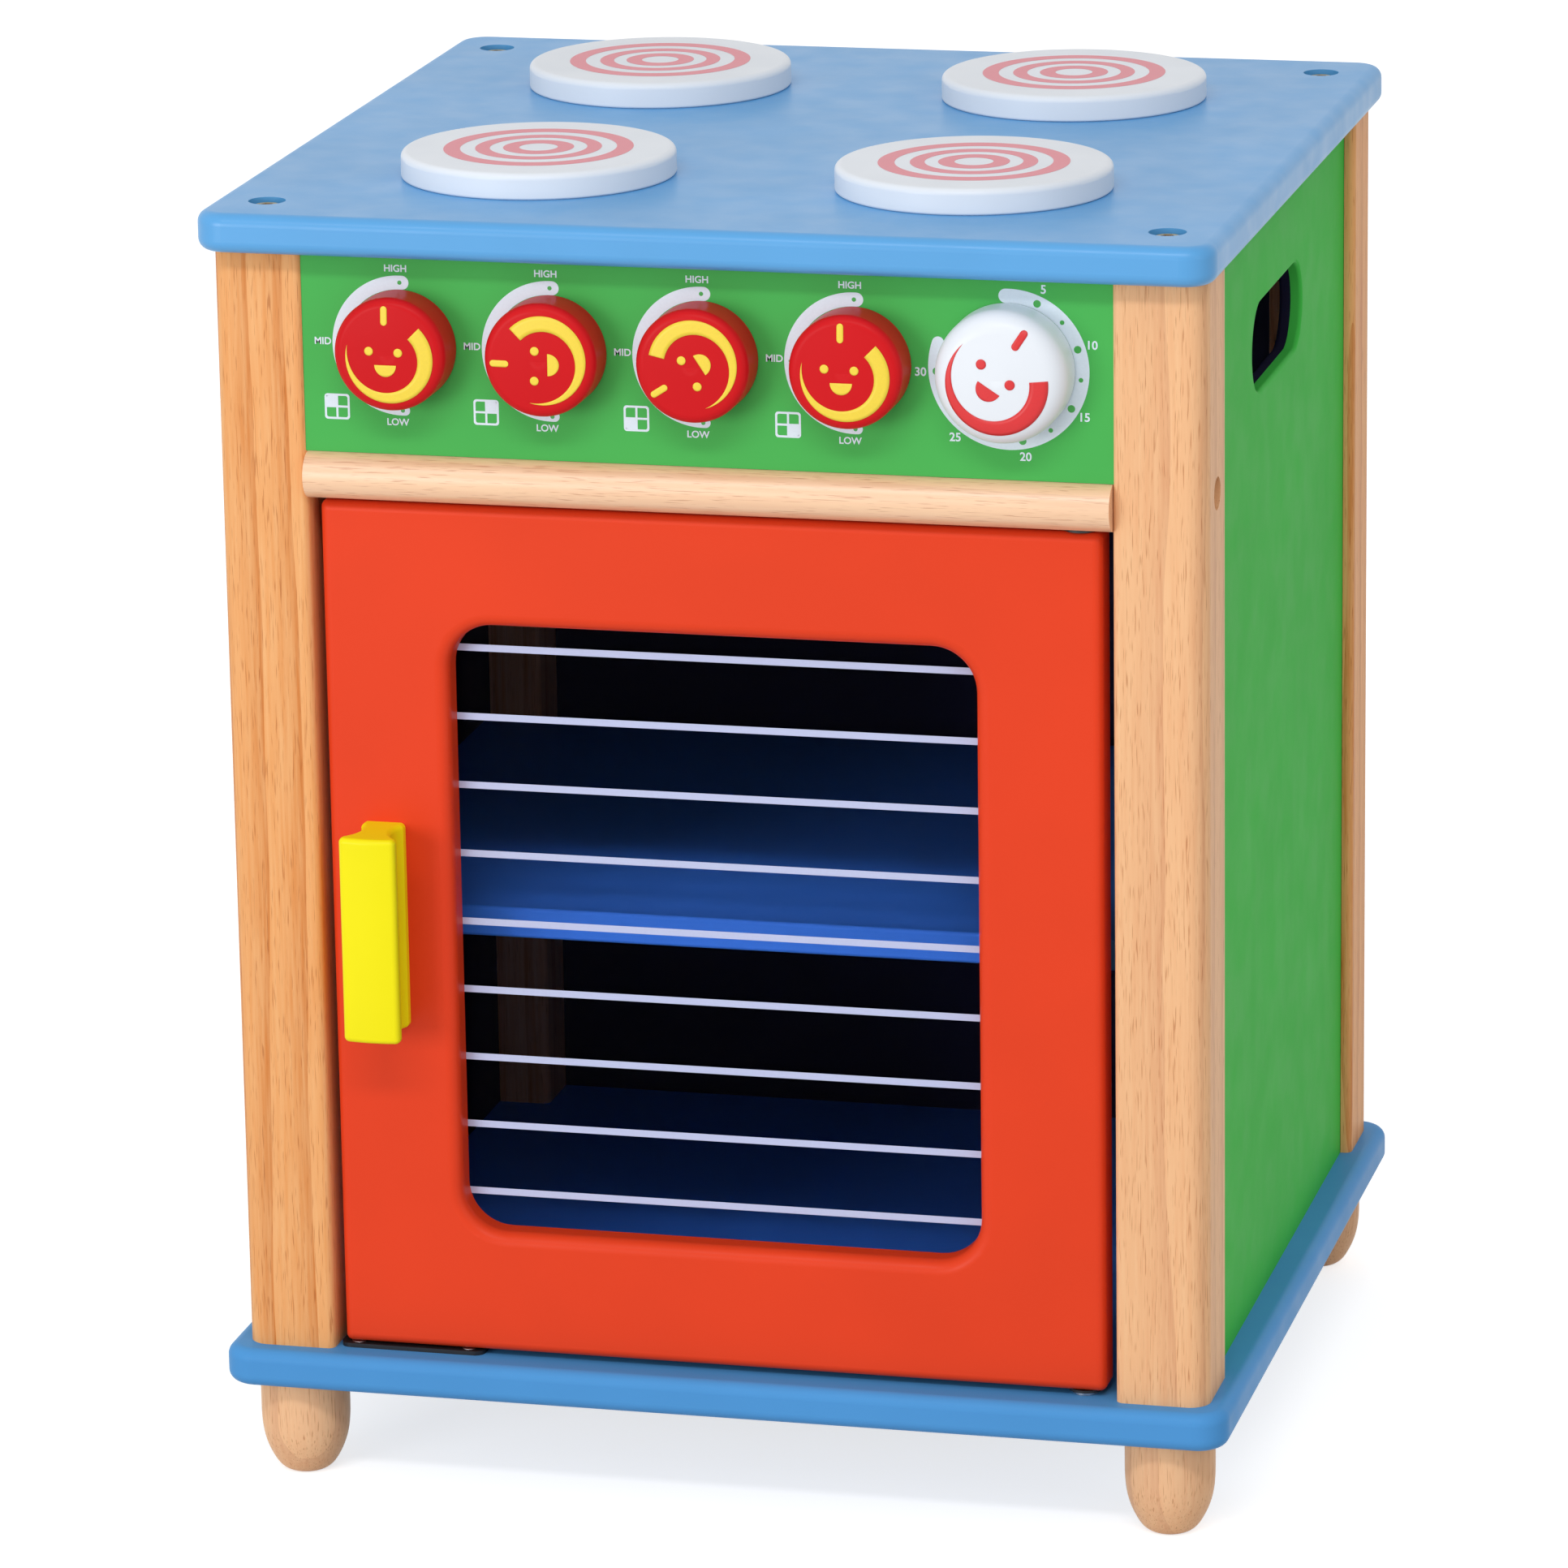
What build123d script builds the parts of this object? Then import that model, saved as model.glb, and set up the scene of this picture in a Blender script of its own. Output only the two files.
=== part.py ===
from build123d import *
import os

os.makedirs("parts", exist_ok=True)

# A wooden toy oven: a hob board and a base board joined by four grooved posts, with panels let into
# the posts, a shelf on pins, a hinged door with an acrylic window, and five turning knobs.
# Millimetres. +X is the viewer's right, -Y is the front, +Z is up. The origin lies on the floor under
# the middle of the overall box.

# ---------------------------------------------------------------- driving dimensions: the cabinet
body_width = 376
body_depth = 350
post_height = 430
post_width = 35
post_depth = 38
post_outer_radius = 8
post_inner_radius = 3

board_thickness = 15
board_corner_radius = 12
board_edge_radius = 4.5
top_side_overhang = 4
top_end_overhang = 11
base_side_overhang = 8
base_end_overhang = 9

foot_height = 40
foot_top_radius = 17.2
foot_straight_height = 26
foot_ankle_radius = 12.8
foot_ankle_height = 5.5
foot_toe_radius = 7
foot_toe_lift = 0.3

# panels let into the posts
side_panel_thickness = 9
side_panel_recess = 4.5
control_panel_thickness = 9
control_panel_recess = 1.5
control_panel_height = 76
back_panel_thickness = 5
back_panel_recess = 6
groove_depth = 6
groove_play = 0.15
panel_end_play = 0.5

hand_slot_length = 104
hand_slot_height = 34
hand_slot_drop = 52
hand_slot_forward = 8
hand_slot_edge_radius = 1.5

rail_height = 18
rail_depth = 40
rail_projection = 6
rail_bolt_rise = 2.5

# hob
hotplate_radius = 52
hotplate_height = 10
hotplate_top_radius = 2.5
hotplate_bottom_radius = 1
hotplate_inset_x = 108
hotplate_inset_y = 95
hotplate_spigot_radius = 6
hotplate_spigot_length = 8

# shelf and its pins
shelf_thickness = 12
shelf_edge_radius = 1.5
shelf_height = 157
shelf_play = 1
shelf_pin_radius = 2.5
shelf_pin_collar_radius = 4
shelf_pin_reach = 9
shelf_pin_depth = 6
shelf_pin_inset = 35

# ---------------------------------------------------------------- driving dimensions: the door
door_thickness = 15
door_recess = 3
door_free_gap = 3.5
door_hinge_gap = 4.5
door_top_gap = 1.5
door_bottom_gap = 2.3
door_corner_radius = 2.5
door_edge_radius = 3.5
door_back_radius = 1

door_stile_width = 48
door_bottom_rail = 47.5
door_top_rail = 46

window_corner_radius = 17
window_edge_radius = 5
pane_thickness = 3
pane_lap = 9
pane_play = 0.3

handle_height = 80
handle_depth = 26
handle_grip_width = 22
handle_grip_thickness = 5
handle_grip_bulge = 1.2
handle_neck_width = 12.5
handle_foot_width = 16.4
handle_foot_thickness = 3
handle_inset = 21.8
handle_rise = 2.6
handle_end_radius = 2
handle_profile_radius = 2.4
handle_screw_spacing = 48
handle_screw_reach = 12

hinge_inset = 9
hinge_pin_radius = 2.5
hinge_pin_depth = 14
hinge_pin_reach = 10
hinge_collar_radius = 5
bush_radius = 4.5
bush_depth = 12
bush_flange_radius = 6.5
bush_flange = 1
thrust_gap = 0.3

# magnetic catch at the free corner of the door
catch_length = 57
catch_post_gap = 1.5
catch_front = 3
catch_flange = 1.7
catch_depth = 31
catch_end_radius = 4
catch_housing_length = 35
catch_housing_height = 16
catch_housing_radius = 1.5
catch_screw_spacing = 44
catch_screw_radius = 1.7
catch_screw_setback = 4.5
magnet_length = 27
magnet_depth = 11
magnet_thickness = 5
pole_thickness = 1.2
pole_proud = 0.6
magnet_play = 0.1
strike_length = 38
strike_height = 14
strike_rise = 1.5
strike_thickness = 1.2
strike_gap = 0.4
strike_hole_radius = 2

# ---------------------------------------------------------------- driving dimensions: knobs, fixings
knob_count = 4
knob_row_inset_left = 37.6
knob_row_inset_right = 38.4
knob_rise = 3.3
knob_radius = 21.3
knob_projection = 18
knob_edge_radius = 3.5
knob_dome = 0.8
timer_radius = 24.8
timer_projection = 20
timer_edge_radius = 8
timer_dome = 1.6
knob_gap = 0.6
knob_spigot_radius = 5
knob_end_gap = 0.4
washer_radius = 9
washer_thickness = 1.2
knob_screw_radius = 1.75
knob_screw_head_radius = 3.6
knob_screw_head_height = 2.4
knob_screw_head_edge = 0.8
knob_screw_reach = 14

bolt_radius = 3
bolt_head_radius = 5
bolt_head_height = 4
bolt_head_chamfer = 0.5
bolt_socket_width = 5
bolt_socket_depth = 2.5
bolt_inset = 17
top_bolt_sink = 1.5
top_bolt_reach = 40
top_counterbore_radius = 7
rail_bolt_sink = 4
rail_bolt_setback = 21
rail_bolt_reach = 40
rail_counterbore_radius = 6.2
stud_reach_down = 25
stud_reach_up = 20

wood_screw_radius = 2
wood_screw_head_radius = 3.9
wood_screw_head_angle = 90

bolt_play = 0.1
running_play = 0.1
seat_play = 0.1

# ---------------------------------------------------------------- levels and planes worked out
base_bottom = foot_height
base_top = base_bottom + board_thickness
post_top = base_top + post_height
hob_top = post_top + board_thickness
post_middle = base_top + post_height / 2

overall_depth = handle_depth - door_recess + body_depth + top_end_overhang
front_y = -overall_depth / 2 + handle_depth - door_recess
back_y = front_y + body_depth
middle_y = (front_y + back_y) / 2

post_x = (body_width - post_width) / 2
post_inner_x = body_width / 2 - post_width
bolt_y = body_depth / 2 - bolt_inset

side_panel_x = body_width / 2 - side_panel_recess - side_panel_thickness / 2
side_panel_inner_x = side_panel_x - side_panel_thickness / 2
tongue = groove_depth - panel_end_play

rail_top = post_top - control_panel_height
rail_bottom = rail_top - rail_height
rail_middle = (rail_top + rail_bottom) / 2
rail_front = front_y - rail_projection
rail_bolt_y = front_y + rail_bolt_setback
rail_bolt_z = rail_middle + rail_bolt_rise

panel_front = front_y + control_panel_recess
panel_back = panel_front + control_panel_thickness
knob_z = rail_top + control_panel_height / 2 + knob_rise

door_front = front_y + door_recess
door_back = door_front + door_thickness
door_left = door_free_gap - post_inner_x
door_right = post_inner_x - door_hinge_gap
door_width = door_right - door_left
door_x = (door_left + door_right) / 2
door_bottom = base_top + door_bottom_gap
door_top = rail_bottom - door_top_gap
door_middle = (door_bottom + door_top) / 2
hinge_x = door_right - hinge_inset
hinge_y = (door_front + door_back) / 2
window_bottom = door_bottom + door_bottom_rail
window_top = door_top - door_top_rail
window_width = door_width - 2 * door_stile_width
window_height = window_top - window_bottom
window_z = (window_bottom + window_top) / 2
handle_x = door_left + handle_inset
handle_z = door_middle + handle_rise

hotplate_spacing_x = body_width + 2 * top_side_overhang - 2 * hotplate_inset_x
hotplate_spacing_y = body_depth + 2 * top_end_overhang - 2 * hotplate_inset_y

back_panel_y = back_y - back_panel_recess - back_panel_thickness / 2
shelf_bottom = base_top + shelf_height

corners = [
    ("front_left", -1, -1),
    ("front_right", 1, -1),
    ("rear_left", -1, 1),
    ("rear_right", 1, 1),
]

# ---------------------------------------------------------------- hob board and base board
with BuildPart() as top_board:
    with BuildSketch(Plane.XY.offset(post_top)):
        with Locations((0, middle_y)):
            RectangleRounded(
                body_width + 2 * top_side_overhang, body_depth + 2 * top_end_overhang, board_corner_radius
            )
    extrude(amount=board_thickness)
    fillet(top_board.faces().filter_by(Axis.Z).edges(), board_edge_radius)
    with Locations(*[(sx * post_x, middle_y + sy * bolt_y, hob_top) for name, sx, sy in corners]):
        CounterBoreHole(
            radius=bolt_radius + bolt_play,
            counter_bore_radius=top_counterbore_radius,
            counter_bore_depth=bolt_head_height + top_bolt_sink,
        )
    with Locations((0, middle_y, hob_top)):
        with GridLocations(hotplate_spacing_x, hotplate_spacing_y, 2, 2):
            Hole(hotplate_spigot_radius + seat_play, depth=hotplate_spigot_length + seat_play)
top_board.part.label = "top_board"
export_step(top_board.part, "parts/top_board.step")

with BuildPart() as base_board:
    with BuildSketch(Plane.XY.offset(base_bottom)):
        with Locations((0, middle_y)):
            RectangleRounded(
                body_width + 2 * base_side_overhang, body_depth + 2 * base_end_overhang, board_corner_radius
            )
    extrude(amount=board_thickness)
    fillet(base_board.faces().filter_by(Axis.Z).edges(), board_edge_radius)
    with Locations(*[(sx * post_x, middle_y + sy * bolt_y, base_top) for name, sx, sy in corners]):
        Hole(bolt_radius + bolt_play)
    with Locations((hinge_x, hinge_y, base_top)):
        Hole(hinge_pin_radius + seat_play, depth=hinge_pin_depth - running_play)
base_board.part.label = "base_board"
export_step(base_board.part, "parts/base_board.step")

# ---------------------------------------------------------------- posts, with grooves and bolt holes
for corner, side, end in corners:
    center_y = middle_y + end * (body_depth - post_depth) / 2
    inward_face_y = center_y - end * post_depth / 2
    outer_corner = (side * body_width / 2, middle_y + end * body_depth / 2)
    inner_face_x = side * post_inner_x
    with BuildPart() as post:
        with BuildSketch(Plane.XY.offset(base_top)) as post_section:
            with Locations((side * post_x, center_y)):
                Rectangle(post_width, post_depth)
            fillet(post_section.vertices().sort_by_distance(outer_corner)[0], post_outer_radius)
            fillet(post_section.vertices().sort_by_distance(outer_corner)[-3:], post_inner_radius)
        extrude(amount=post_height)
        # groove for the side panel, in the face towards the other end of the cabinet
        with Locations((side * side_panel_x, inward_face_y, post_middle)):
            Box(side_panel_thickness + 2 * groove_play, 2 * groove_depth, post_height, mode=Mode.SUBTRACT)
        if end < 0:
            # groove for the control panel, above the rail
            with Locations((inner_face_x, (panel_front + panel_back) / 2, rail_top)):
                Box(
                    2 * groove_depth,
                    control_panel_thickness + 2 * groove_play,
                    control_panel_height,
                    align=(Align.CENTER, Align.CENTER, Align.MIN),
                    mode=Mode.SUBTRACT,
                )
            # stepped hole for the bolt that pulls the rail against the post
            with Locations(Plane((side * body_width / 2, rail_bolt_y, rail_bolt_z), z_dir=(side, 0, 0))):
                CounterBoreHole(
                    radius=bolt_radius + bolt_play,
                    counter_bore_radius=rail_counterbore_radius,
                    counter_bore_depth=bolt_head_height + rail_bolt_sink,
                    depth=post_width,
                )
        else:
            # groove for the back panel
            with Locations((inner_face_x, back_panel_y, post_middle)):
                Box(
                    2 * groove_depth,
                    back_panel_thickness + 2 * groove_play,
                    post_height,
                    mode=Mode.SUBTRACT,
                )
        with Locations((side * post_x, middle_y + end * bolt_y, post_top)):
            Hole(bolt_radius + bolt_play, depth=top_bolt_reach + bolt_play)
        with Locations((side * post_x, middle_y + end * bolt_y, base_top)):
            Cylinder(
                bolt_radius + bolt_play,
                stud_reach_up + bolt_play,
                align=(Align.CENTER, Align.CENTER, Align.MIN),
                mode=Mode.SUBTRACT,
            )
    post.part.label = f"post_{corner}"
    export_step(post.part, f"parts/post_{corner}.step")

# ---------------------------------------------------------------- side panels with hand slots
side_panel_depth = body_depth - 2 * post_depth + 2 * tongue
hand_slot_y = middle_y - hand_slot_forward
hand_slot_z = post_top - hand_slot_drop
pin_offset = side_panel_depth / 2 - tongue - shelf_pin_inset
pin_z = shelf_bottom - shelf_pin_radius

for side_name, side in (("left", -1), ("right", 1)):
    with BuildPart() as side_panel:
        with BuildSketch(Plane.YZ.offset(side * side_panel_x)):
            with Locations((middle_y, post_middle)):
                Rectangle(side_panel_depth, post_height)
            with Locations((hand_slot_y, hand_slot_z)):
                SlotOverall(hand_slot_length, hand_slot_height, mode=Mode.SUBTRACT)
        extrude(amount=side_panel_thickness / 2, both=True)
        slot_rims = side_panel.edges().filter_by_position(
            Axis.Z, hand_slot_z - hand_slot_height, hand_slot_z + hand_slot_height
        )
        fillet(slot_rims.filter_by(Plane.YZ), hand_slot_edge_radius)
        # sockets for the shelf pins
        with Locations(*[
            Plane((side * side_panel_inner_x, middle_y + end * pin_offset, pin_z), z_dir=(-side, 0, 0))
            for end in (-1, 1)
        ]):
            Hole(shelf_pin_radius + seat_play, depth=shelf_pin_depth + seat_play)
    side_panel.part.label = f"side_panel_{side_name}"
    export_step(side_panel.part, f"parts/side_panel_{side_name}.step")

# ---------------------------------------------------------------- back panel and control panel
with BuildPart() as back_panel:
    with Locations((0, back_panel_y, post_middle)):
        Box(2 * (post_inner_x + tongue), back_panel_thickness, post_height)
back_panel.part.label = "back_panel"
export_step(back_panel.part, "parts/back_panel.step")

knob_spacing = (2 * post_inner_x - knob_row_inset_left - knob_row_inset_right) / knob_count
knob_places = [knob_row_inset_left - post_inner_x + knob_spacing * i for i in range(knob_count + 1)]

with BuildPart() as control_panel:
    with Locations((0, (panel_front + panel_back) / 2, rail_top)):
        Box(
            2 * (post_inner_x + tongue),
            control_panel_thickness,
            control_panel_height,
            align=(Align.CENTER, Align.CENTER, Align.MIN),
        )
    with Locations(*[Plane((x, panel_front, knob_z), z_dir=(0, -1, 0)) for x in knob_places]):
        Hole(knob_spigot_radius + running_play)
control_panel.part.label = "control_panel"
export_step(control_panel.part, "parts/control_panel.step")

# ---------------------------------------------------------------- bull-nosed rail under the panel
with BuildPart() as front_rail:
    with BuildSketch(Plane.YZ):
        with Locations((rail_front + rail_height / 2, rail_middle)):
            Circle(rail_height / 2)
            Rectangle(rail_depth - rail_height / 2, rail_height, align=(Align.MIN, Align.CENTER))
    extrude(amount=post_inner_x, both=True)
    with Locations(*[
        Plane((side * post_inner_x, rail_bolt_y, rail_bolt_z), z_dir=(side, 0, 0)) for side in (-1, 1)
    ]):
        Hole(bolt_radius + bolt_play, depth=rail_bolt_reach + bolt_play)
    with Locations((hinge_x, hinge_y, rail_bottom)):
        Cylinder(
            hinge_pin_radius + seat_play,
            hinge_pin_depth,
            align=(Align.CENTER, Align.CENTER, Align.MIN),
            mode=Mode.SUBTRACT,
        )
front_rail.part.label = "front_rail"
export_step(front_rail.part, "parts/front_rail.step")

# ---------------------------------------------------------------- shelf on four collared pins
shelf_width = 2 * (side_panel_inner_x - shelf_play)
shelf_depth = body_depth - 2 * (post_depth + shelf_play)

with BuildPart() as oven_shelf:
    with Locations((0, middle_y, shelf_bottom)):
        Box(shelf_width, shelf_depth, shelf_thickness, align=(Align.CENTER, Align.CENTER, Align.MIN))
    fillet(oven_shelf.edges().filter_by(Axis.X), shelf_edge_radius)
oven_shelf.part.label = "oven_shelf"
export_step(oven_shelf.part, "parts/oven_shelf.step")

for pin_name, side, end in corners:
    pin_y = middle_y + end * pin_offset
    pin_plane = Plane((side * side_panel_inner_x, pin_y, pin_z), z_dir=(-side, 0, 0))
    with BuildPart(pin_plane) as shelf_pin:
        with Locations((0, 0, -shelf_pin_depth)):
            Cylinder(
                shelf_pin_radius,
                shelf_pin_depth + shelf_pin_reach,
                align=(Align.CENTER, Align.CENTER, Align.MIN),
            )
        # a collar that fills the gap between the panel and the shelf's end
        with BuildSketch(pin_plane):
            Circle(shelf_pin_collar_radius)
        extrude(amount=shelf_play - seat_play)
    shelf_pin.part.label = f"shelf_pin_{pin_name}"
    export_step(shelf_pin.part, f"parts/shelf_pin_{pin_name}.step")

# ---------------------------------------------------------------- hotplates, located by a turned spigot
for plate_name, side, end in corners:
    plate_center = (side * hotplate_spacing_x / 2, middle_y + end * hotplate_spacing_y / 2, hob_top)
    with BuildPart() as hotplate:
        with BuildSketch(Plane(plate_center, x_dir=(1, 0, 0), z_dir=(0, -1, 0))) as plate_section:
            Rectangle(hotplate_radius, hotplate_height, align=(Align.MIN, Align.MIN))
            rim = plate_section.vertices().group_by(Axis.X)[-1].sort_by(Axis.Y)
            fillet(rim[-1], hotplate_top_radius)
            rim = plate_section.vertices().group_by(Axis.X)[-1].sort_by(Axis.Y)
            fillet(rim[0], hotplate_bottom_radius)
        revolve(axis=Axis(plate_center, (0, 0, 1)))
        with Locations(plate_center):
            Cylinder(
                hotplate_spigot_radius,
                hotplate_spigot_length,
                align=(Align.CENTER, Align.CENTER, Align.MAX),
            )
    hotplate.part.label = f"hotplate_{plate_name}"
    export_step(hotplate.part, f"parts/hotplate_{plate_name}.step")

# ---------------------------------------------------------------- turned feet and their studs
for foot_name, side, end in corners:
    foot_center = (side * post_x, middle_y + end * bolt_y)
    with BuildPart() as foot:
        with BuildSketch(Plane((*foot_center, 0), x_dir=(1, 0, 0), z_dir=(0, -1, 0))):
            with BuildLine():
                Line((0, 0), (foot_toe_radius, 0))
                Spline(
                    (foot_toe_radius, 0),
                    (foot_ankle_radius, foot_ankle_height),
                    (foot_top_radius, foot_straight_height),
                    tangents=((1, foot_toe_lift), (0, 1)),
                )
                Line((foot_top_radius, foot_straight_height), (foot_top_radius, foot_height))
                Line((foot_top_radius, foot_height), (0, foot_height))
                Line((0, foot_height), (0, 0))
            make_face()
        revolve(axis=Axis((*foot_center, 0), (0, 0, 1)))
        with Locations((*foot_center, foot_height)):
            Hole(bolt_radius + bolt_play, depth=stud_reach_down + bolt_play)
    foot.part.label = f"foot_{foot_name}"
    export_step(foot.part, f"parts/foot_{foot_name}.step")

    with BuildPart() as foot_stud:
        with Locations((*foot_center, base_bottom - stud_reach_down)):
            Cylinder(
                bolt_radius,
                stud_reach_down + board_thickness + stud_reach_up,
                align=(Align.CENTER, Align.CENTER, Align.MIN),
            )
    foot_stud.part.label = f"foot_stud_{foot_name}"
    export_step(foot_stud.part, f"parts/foot_stud_{foot_name}.step")


# ---------------------------------------------------------------- socket-head connector bolts
def connector_bolt(seat, shank_length):
    """A bolt whose head stands on the seat plane and whose shank runs down from it."""
    with BuildPart(seat) as bolt:
        Cylinder(bolt_head_radius, bolt_head_height, align=(Align.CENTER, Align.CENTER, Align.MIN))
        rim_edges = bolt.edges().filter_by(GeomType.CIRCLE).sort_by_distance(seat.origin)[-1]
        chamfer(rim_edges, bolt_head_chamfer)
        Cylinder(bolt_radius, shank_length, align=(Align.CENTER, Align.CENTER, Align.MAX))
        with BuildSketch(seat.offset(bolt_head_height)):
            RegularPolygon(bolt_socket_width / 2, 6, major_radius=False)
        extrude(amount=-bolt_socket_depth, mode=Mode.SUBTRACT)
    return bolt.part


top_bolt_seat = hob_top - top_bolt_sink - bolt_head_height

for bolt_name, side, end in corners:
    seat = Plane((side * post_x, middle_y + end * bolt_y, top_bolt_seat))
    top_bolt = connector_bolt(seat, top_bolt_seat - post_top + top_bolt_reach)
    top_bolt.label = f"top_bolt_{bolt_name}"
    export_step(top_bolt, f"parts/top_bolt_{bolt_name}.step")

rail_bolt_seat_x = body_width / 2 - rail_bolt_sink - bolt_head_height

for side_name, side in (("left", -1), ("right", 1)):
    seat = Plane((side * rail_bolt_seat_x, rail_bolt_y, rail_bolt_z), z_dir=(side, 0, 0))
    rail_bolt = connector_bolt(seat, rail_bolt_seat_x - post_inner_x + rail_bolt_reach)
    rail_bolt.label = f"rail_bolt_{side_name}"
    export_step(rail_bolt, f"parts/rail_bolt_{side_name}.step")

# ---------------------------------------------------------------- door panel with its bores
door_height = door_top - door_bottom
screw_places = [(handle_x, handle_z + up * handle_screw_spacing / 2) for up in (-1, 1)]

with BuildPart() as door_panel:
    with BuildSketch(Plane.XZ.offset(-door_back)):
        with Locations((door_x, door_middle)):
            RectangleRounded(door_width, door_height, door_corner_radius)
        with Locations((door_x, window_z)):
            RectangleRounded(window_width, window_height, window_corner_radius, mode=Mode.SUBTRACT)
    extrude(amount=door_thickness)
    front_wires = door_panel.faces().sort_by(Axis.Y)[0].wires().sort_by(SortBy.LENGTH)
    fillet(front_wires[0].edges(), window_edge_radius)
    front_wires = door_panel.faces().sort_by(Axis.Y)[0].wires().sort_by(SortBy.LENGTH)
    fillet(front_wires[-1].edges(), door_edge_radius)
    back_wires = door_panel.faces().sort_by(Axis.Y)[-1].wires().sort_by(SortBy.LENGTH)
    fillet(back_wires[-1].edges(), door_back_radius)
    # rabbet for the pane, cut from the back
    with BuildSketch(Plane.XZ.offset(-door_back)):
        with Locations((door_x, window_z)):
            RectangleRounded(
                window_width + 2 * pane_lap, window_height + 2 * pane_lap, window_corner_radius + pane_lap
            )
    extrude(amount=pane_thickness + pane_play, mode=Mode.SUBTRACT)
    # bores for the nylon hinge bushes, in the top and bottom edges
    for bore_z, bore_align in ((door_bottom, Align.MIN), (door_top, Align.MAX)):
        with Locations((hinge_x, hinge_y, bore_z)):
            Cylinder(
                bush_radius + seat_play,
                bush_depth + seat_play,
                align=(Align.CENTER, Align.CENTER, bore_align),
                mode=Mode.SUBTRACT,
            )
    with Locations(*[Plane((x, door_back, z), z_dir=(0, 1, 0)) for x, z in screw_places]):
        CounterSinkHole(
            wood_screw_radius + seat_play,
            wood_screw_head_radius + seat_play,
            counter_sink_angle=wood_screw_head_angle,
        )
door_panel.part.label = "door_panel"
export_step(door_panel.part, "parts/door_panel.step")

with BuildPart() as door_window:
    with BuildSketch(Plane.XZ.offset(-door_back)):
        with Locations((door_x, window_z)):
            RectangleRounded(
                window_width + 2 * (pane_lap - pane_play),
                window_height + 2 * (pane_lap - pane_play),
                window_corner_radius + pane_lap - pane_play,
            )
    extrude(amount=pane_thickness)
door_window.part.label = "door_window"
export_step(door_window.part, "parts/door_window.step")

# ---------------------------------------------------------------- handle: one grooved section
half_foot = handle_foot_width / 2
half_neck = handle_neck_width / 2
half_grip = handle_grip_width / 2
groove_end = handle_depth - handle_grip_thickness
groove_middle = (handle_foot_thickness + groove_end) / 2
shoulder = handle_depth - handle_grip_bulge

with BuildPart() as handle:
    handle_end = Plane((handle_x, door_front, handle_z - handle_height / 2), x_dir=(-1, 0, 0))
    with BuildSketch(handle_end) as section:
        with BuildLine():
            Line((0, 0), (half_foot, 0))
            Line((half_foot, 0), (half_foot, handle_foot_thickness))
            ThreePointArc(
                (half_foot, handle_foot_thickness), (half_neck, groove_middle), (half_grip, groove_end)
            )
            Line((half_grip, groove_end), (half_grip, shoulder))
            ThreePointArc((half_grip, shoulder), (0, handle_depth), (-half_grip, shoulder))
            Line((-half_grip, shoulder), (-half_grip, groove_end))
            ThreePointArc(
                (-half_grip, groove_end), (-half_neck, groove_middle), (-half_foot, handle_foot_thickness)
            )
            Line((-half_foot, handle_foot_thickness), (-half_foot, 0))
            Line((-half_foot, 0), (0, 0))
        make_face()
        outer_corners = section.vertices().filter_by_position(Axis.Y, handle_foot_thickness, handle_depth)
        fillet(outer_corners, handle_profile_radius)
    extrude(amount=handle_height)
    # the end rims are rounded, apart from the edges that lie on the door
    end_rims = handle.faces().filter_by(Axis.Z).edges()
    free_rims = end_rims.filter_by_position(
        Axis.Y, door_front - handle_depth, door_front, inclusive=(True, False)
    )
    fillet(free_rims, handle_end_radius)
    with Locations(*[Plane((x, door_front, z), z_dir=(0, 1, 0)) for x, z in screw_places]):
        Hole(wood_screw_radius + seat_play, depth=handle_screw_reach + seat_play)
handle.part.label = "handle"
export_step(handle.part, "parts/handle.step")

countersink_depth = wood_screw_head_radius - wood_screw_radius

for screw_name, (screw_x, screw_z) in zip(("lower", "upper"), screw_places):
    screw_plane = Plane((screw_x, door_back, screw_z), z_dir=(0, 1, 0))
    with BuildPart(screw_plane) as handle_screw:
        Cone(wood_screw_radius, wood_screw_head_radius, countersink_depth,
             align=(Align.CENTER, Align.CENTER, Align.MAX))
        Cylinder(wood_screw_radius, door_thickness + handle_screw_reach,
                 align=(Align.CENTER, Align.CENTER, Align.MAX))
    handle_screw.part.label = f"handle_screw_{screw_name}"
    export_step(handle_screw.part, f"parts/handle_screw_{screw_name}.step")

# ---------------------------------------------------------------- hinge pins and their flanged bushes
bottom_collar = door_bottom_gap - bush_flange - thrust_gap
socket_depth = hinge_pin_depth - running_play

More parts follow.
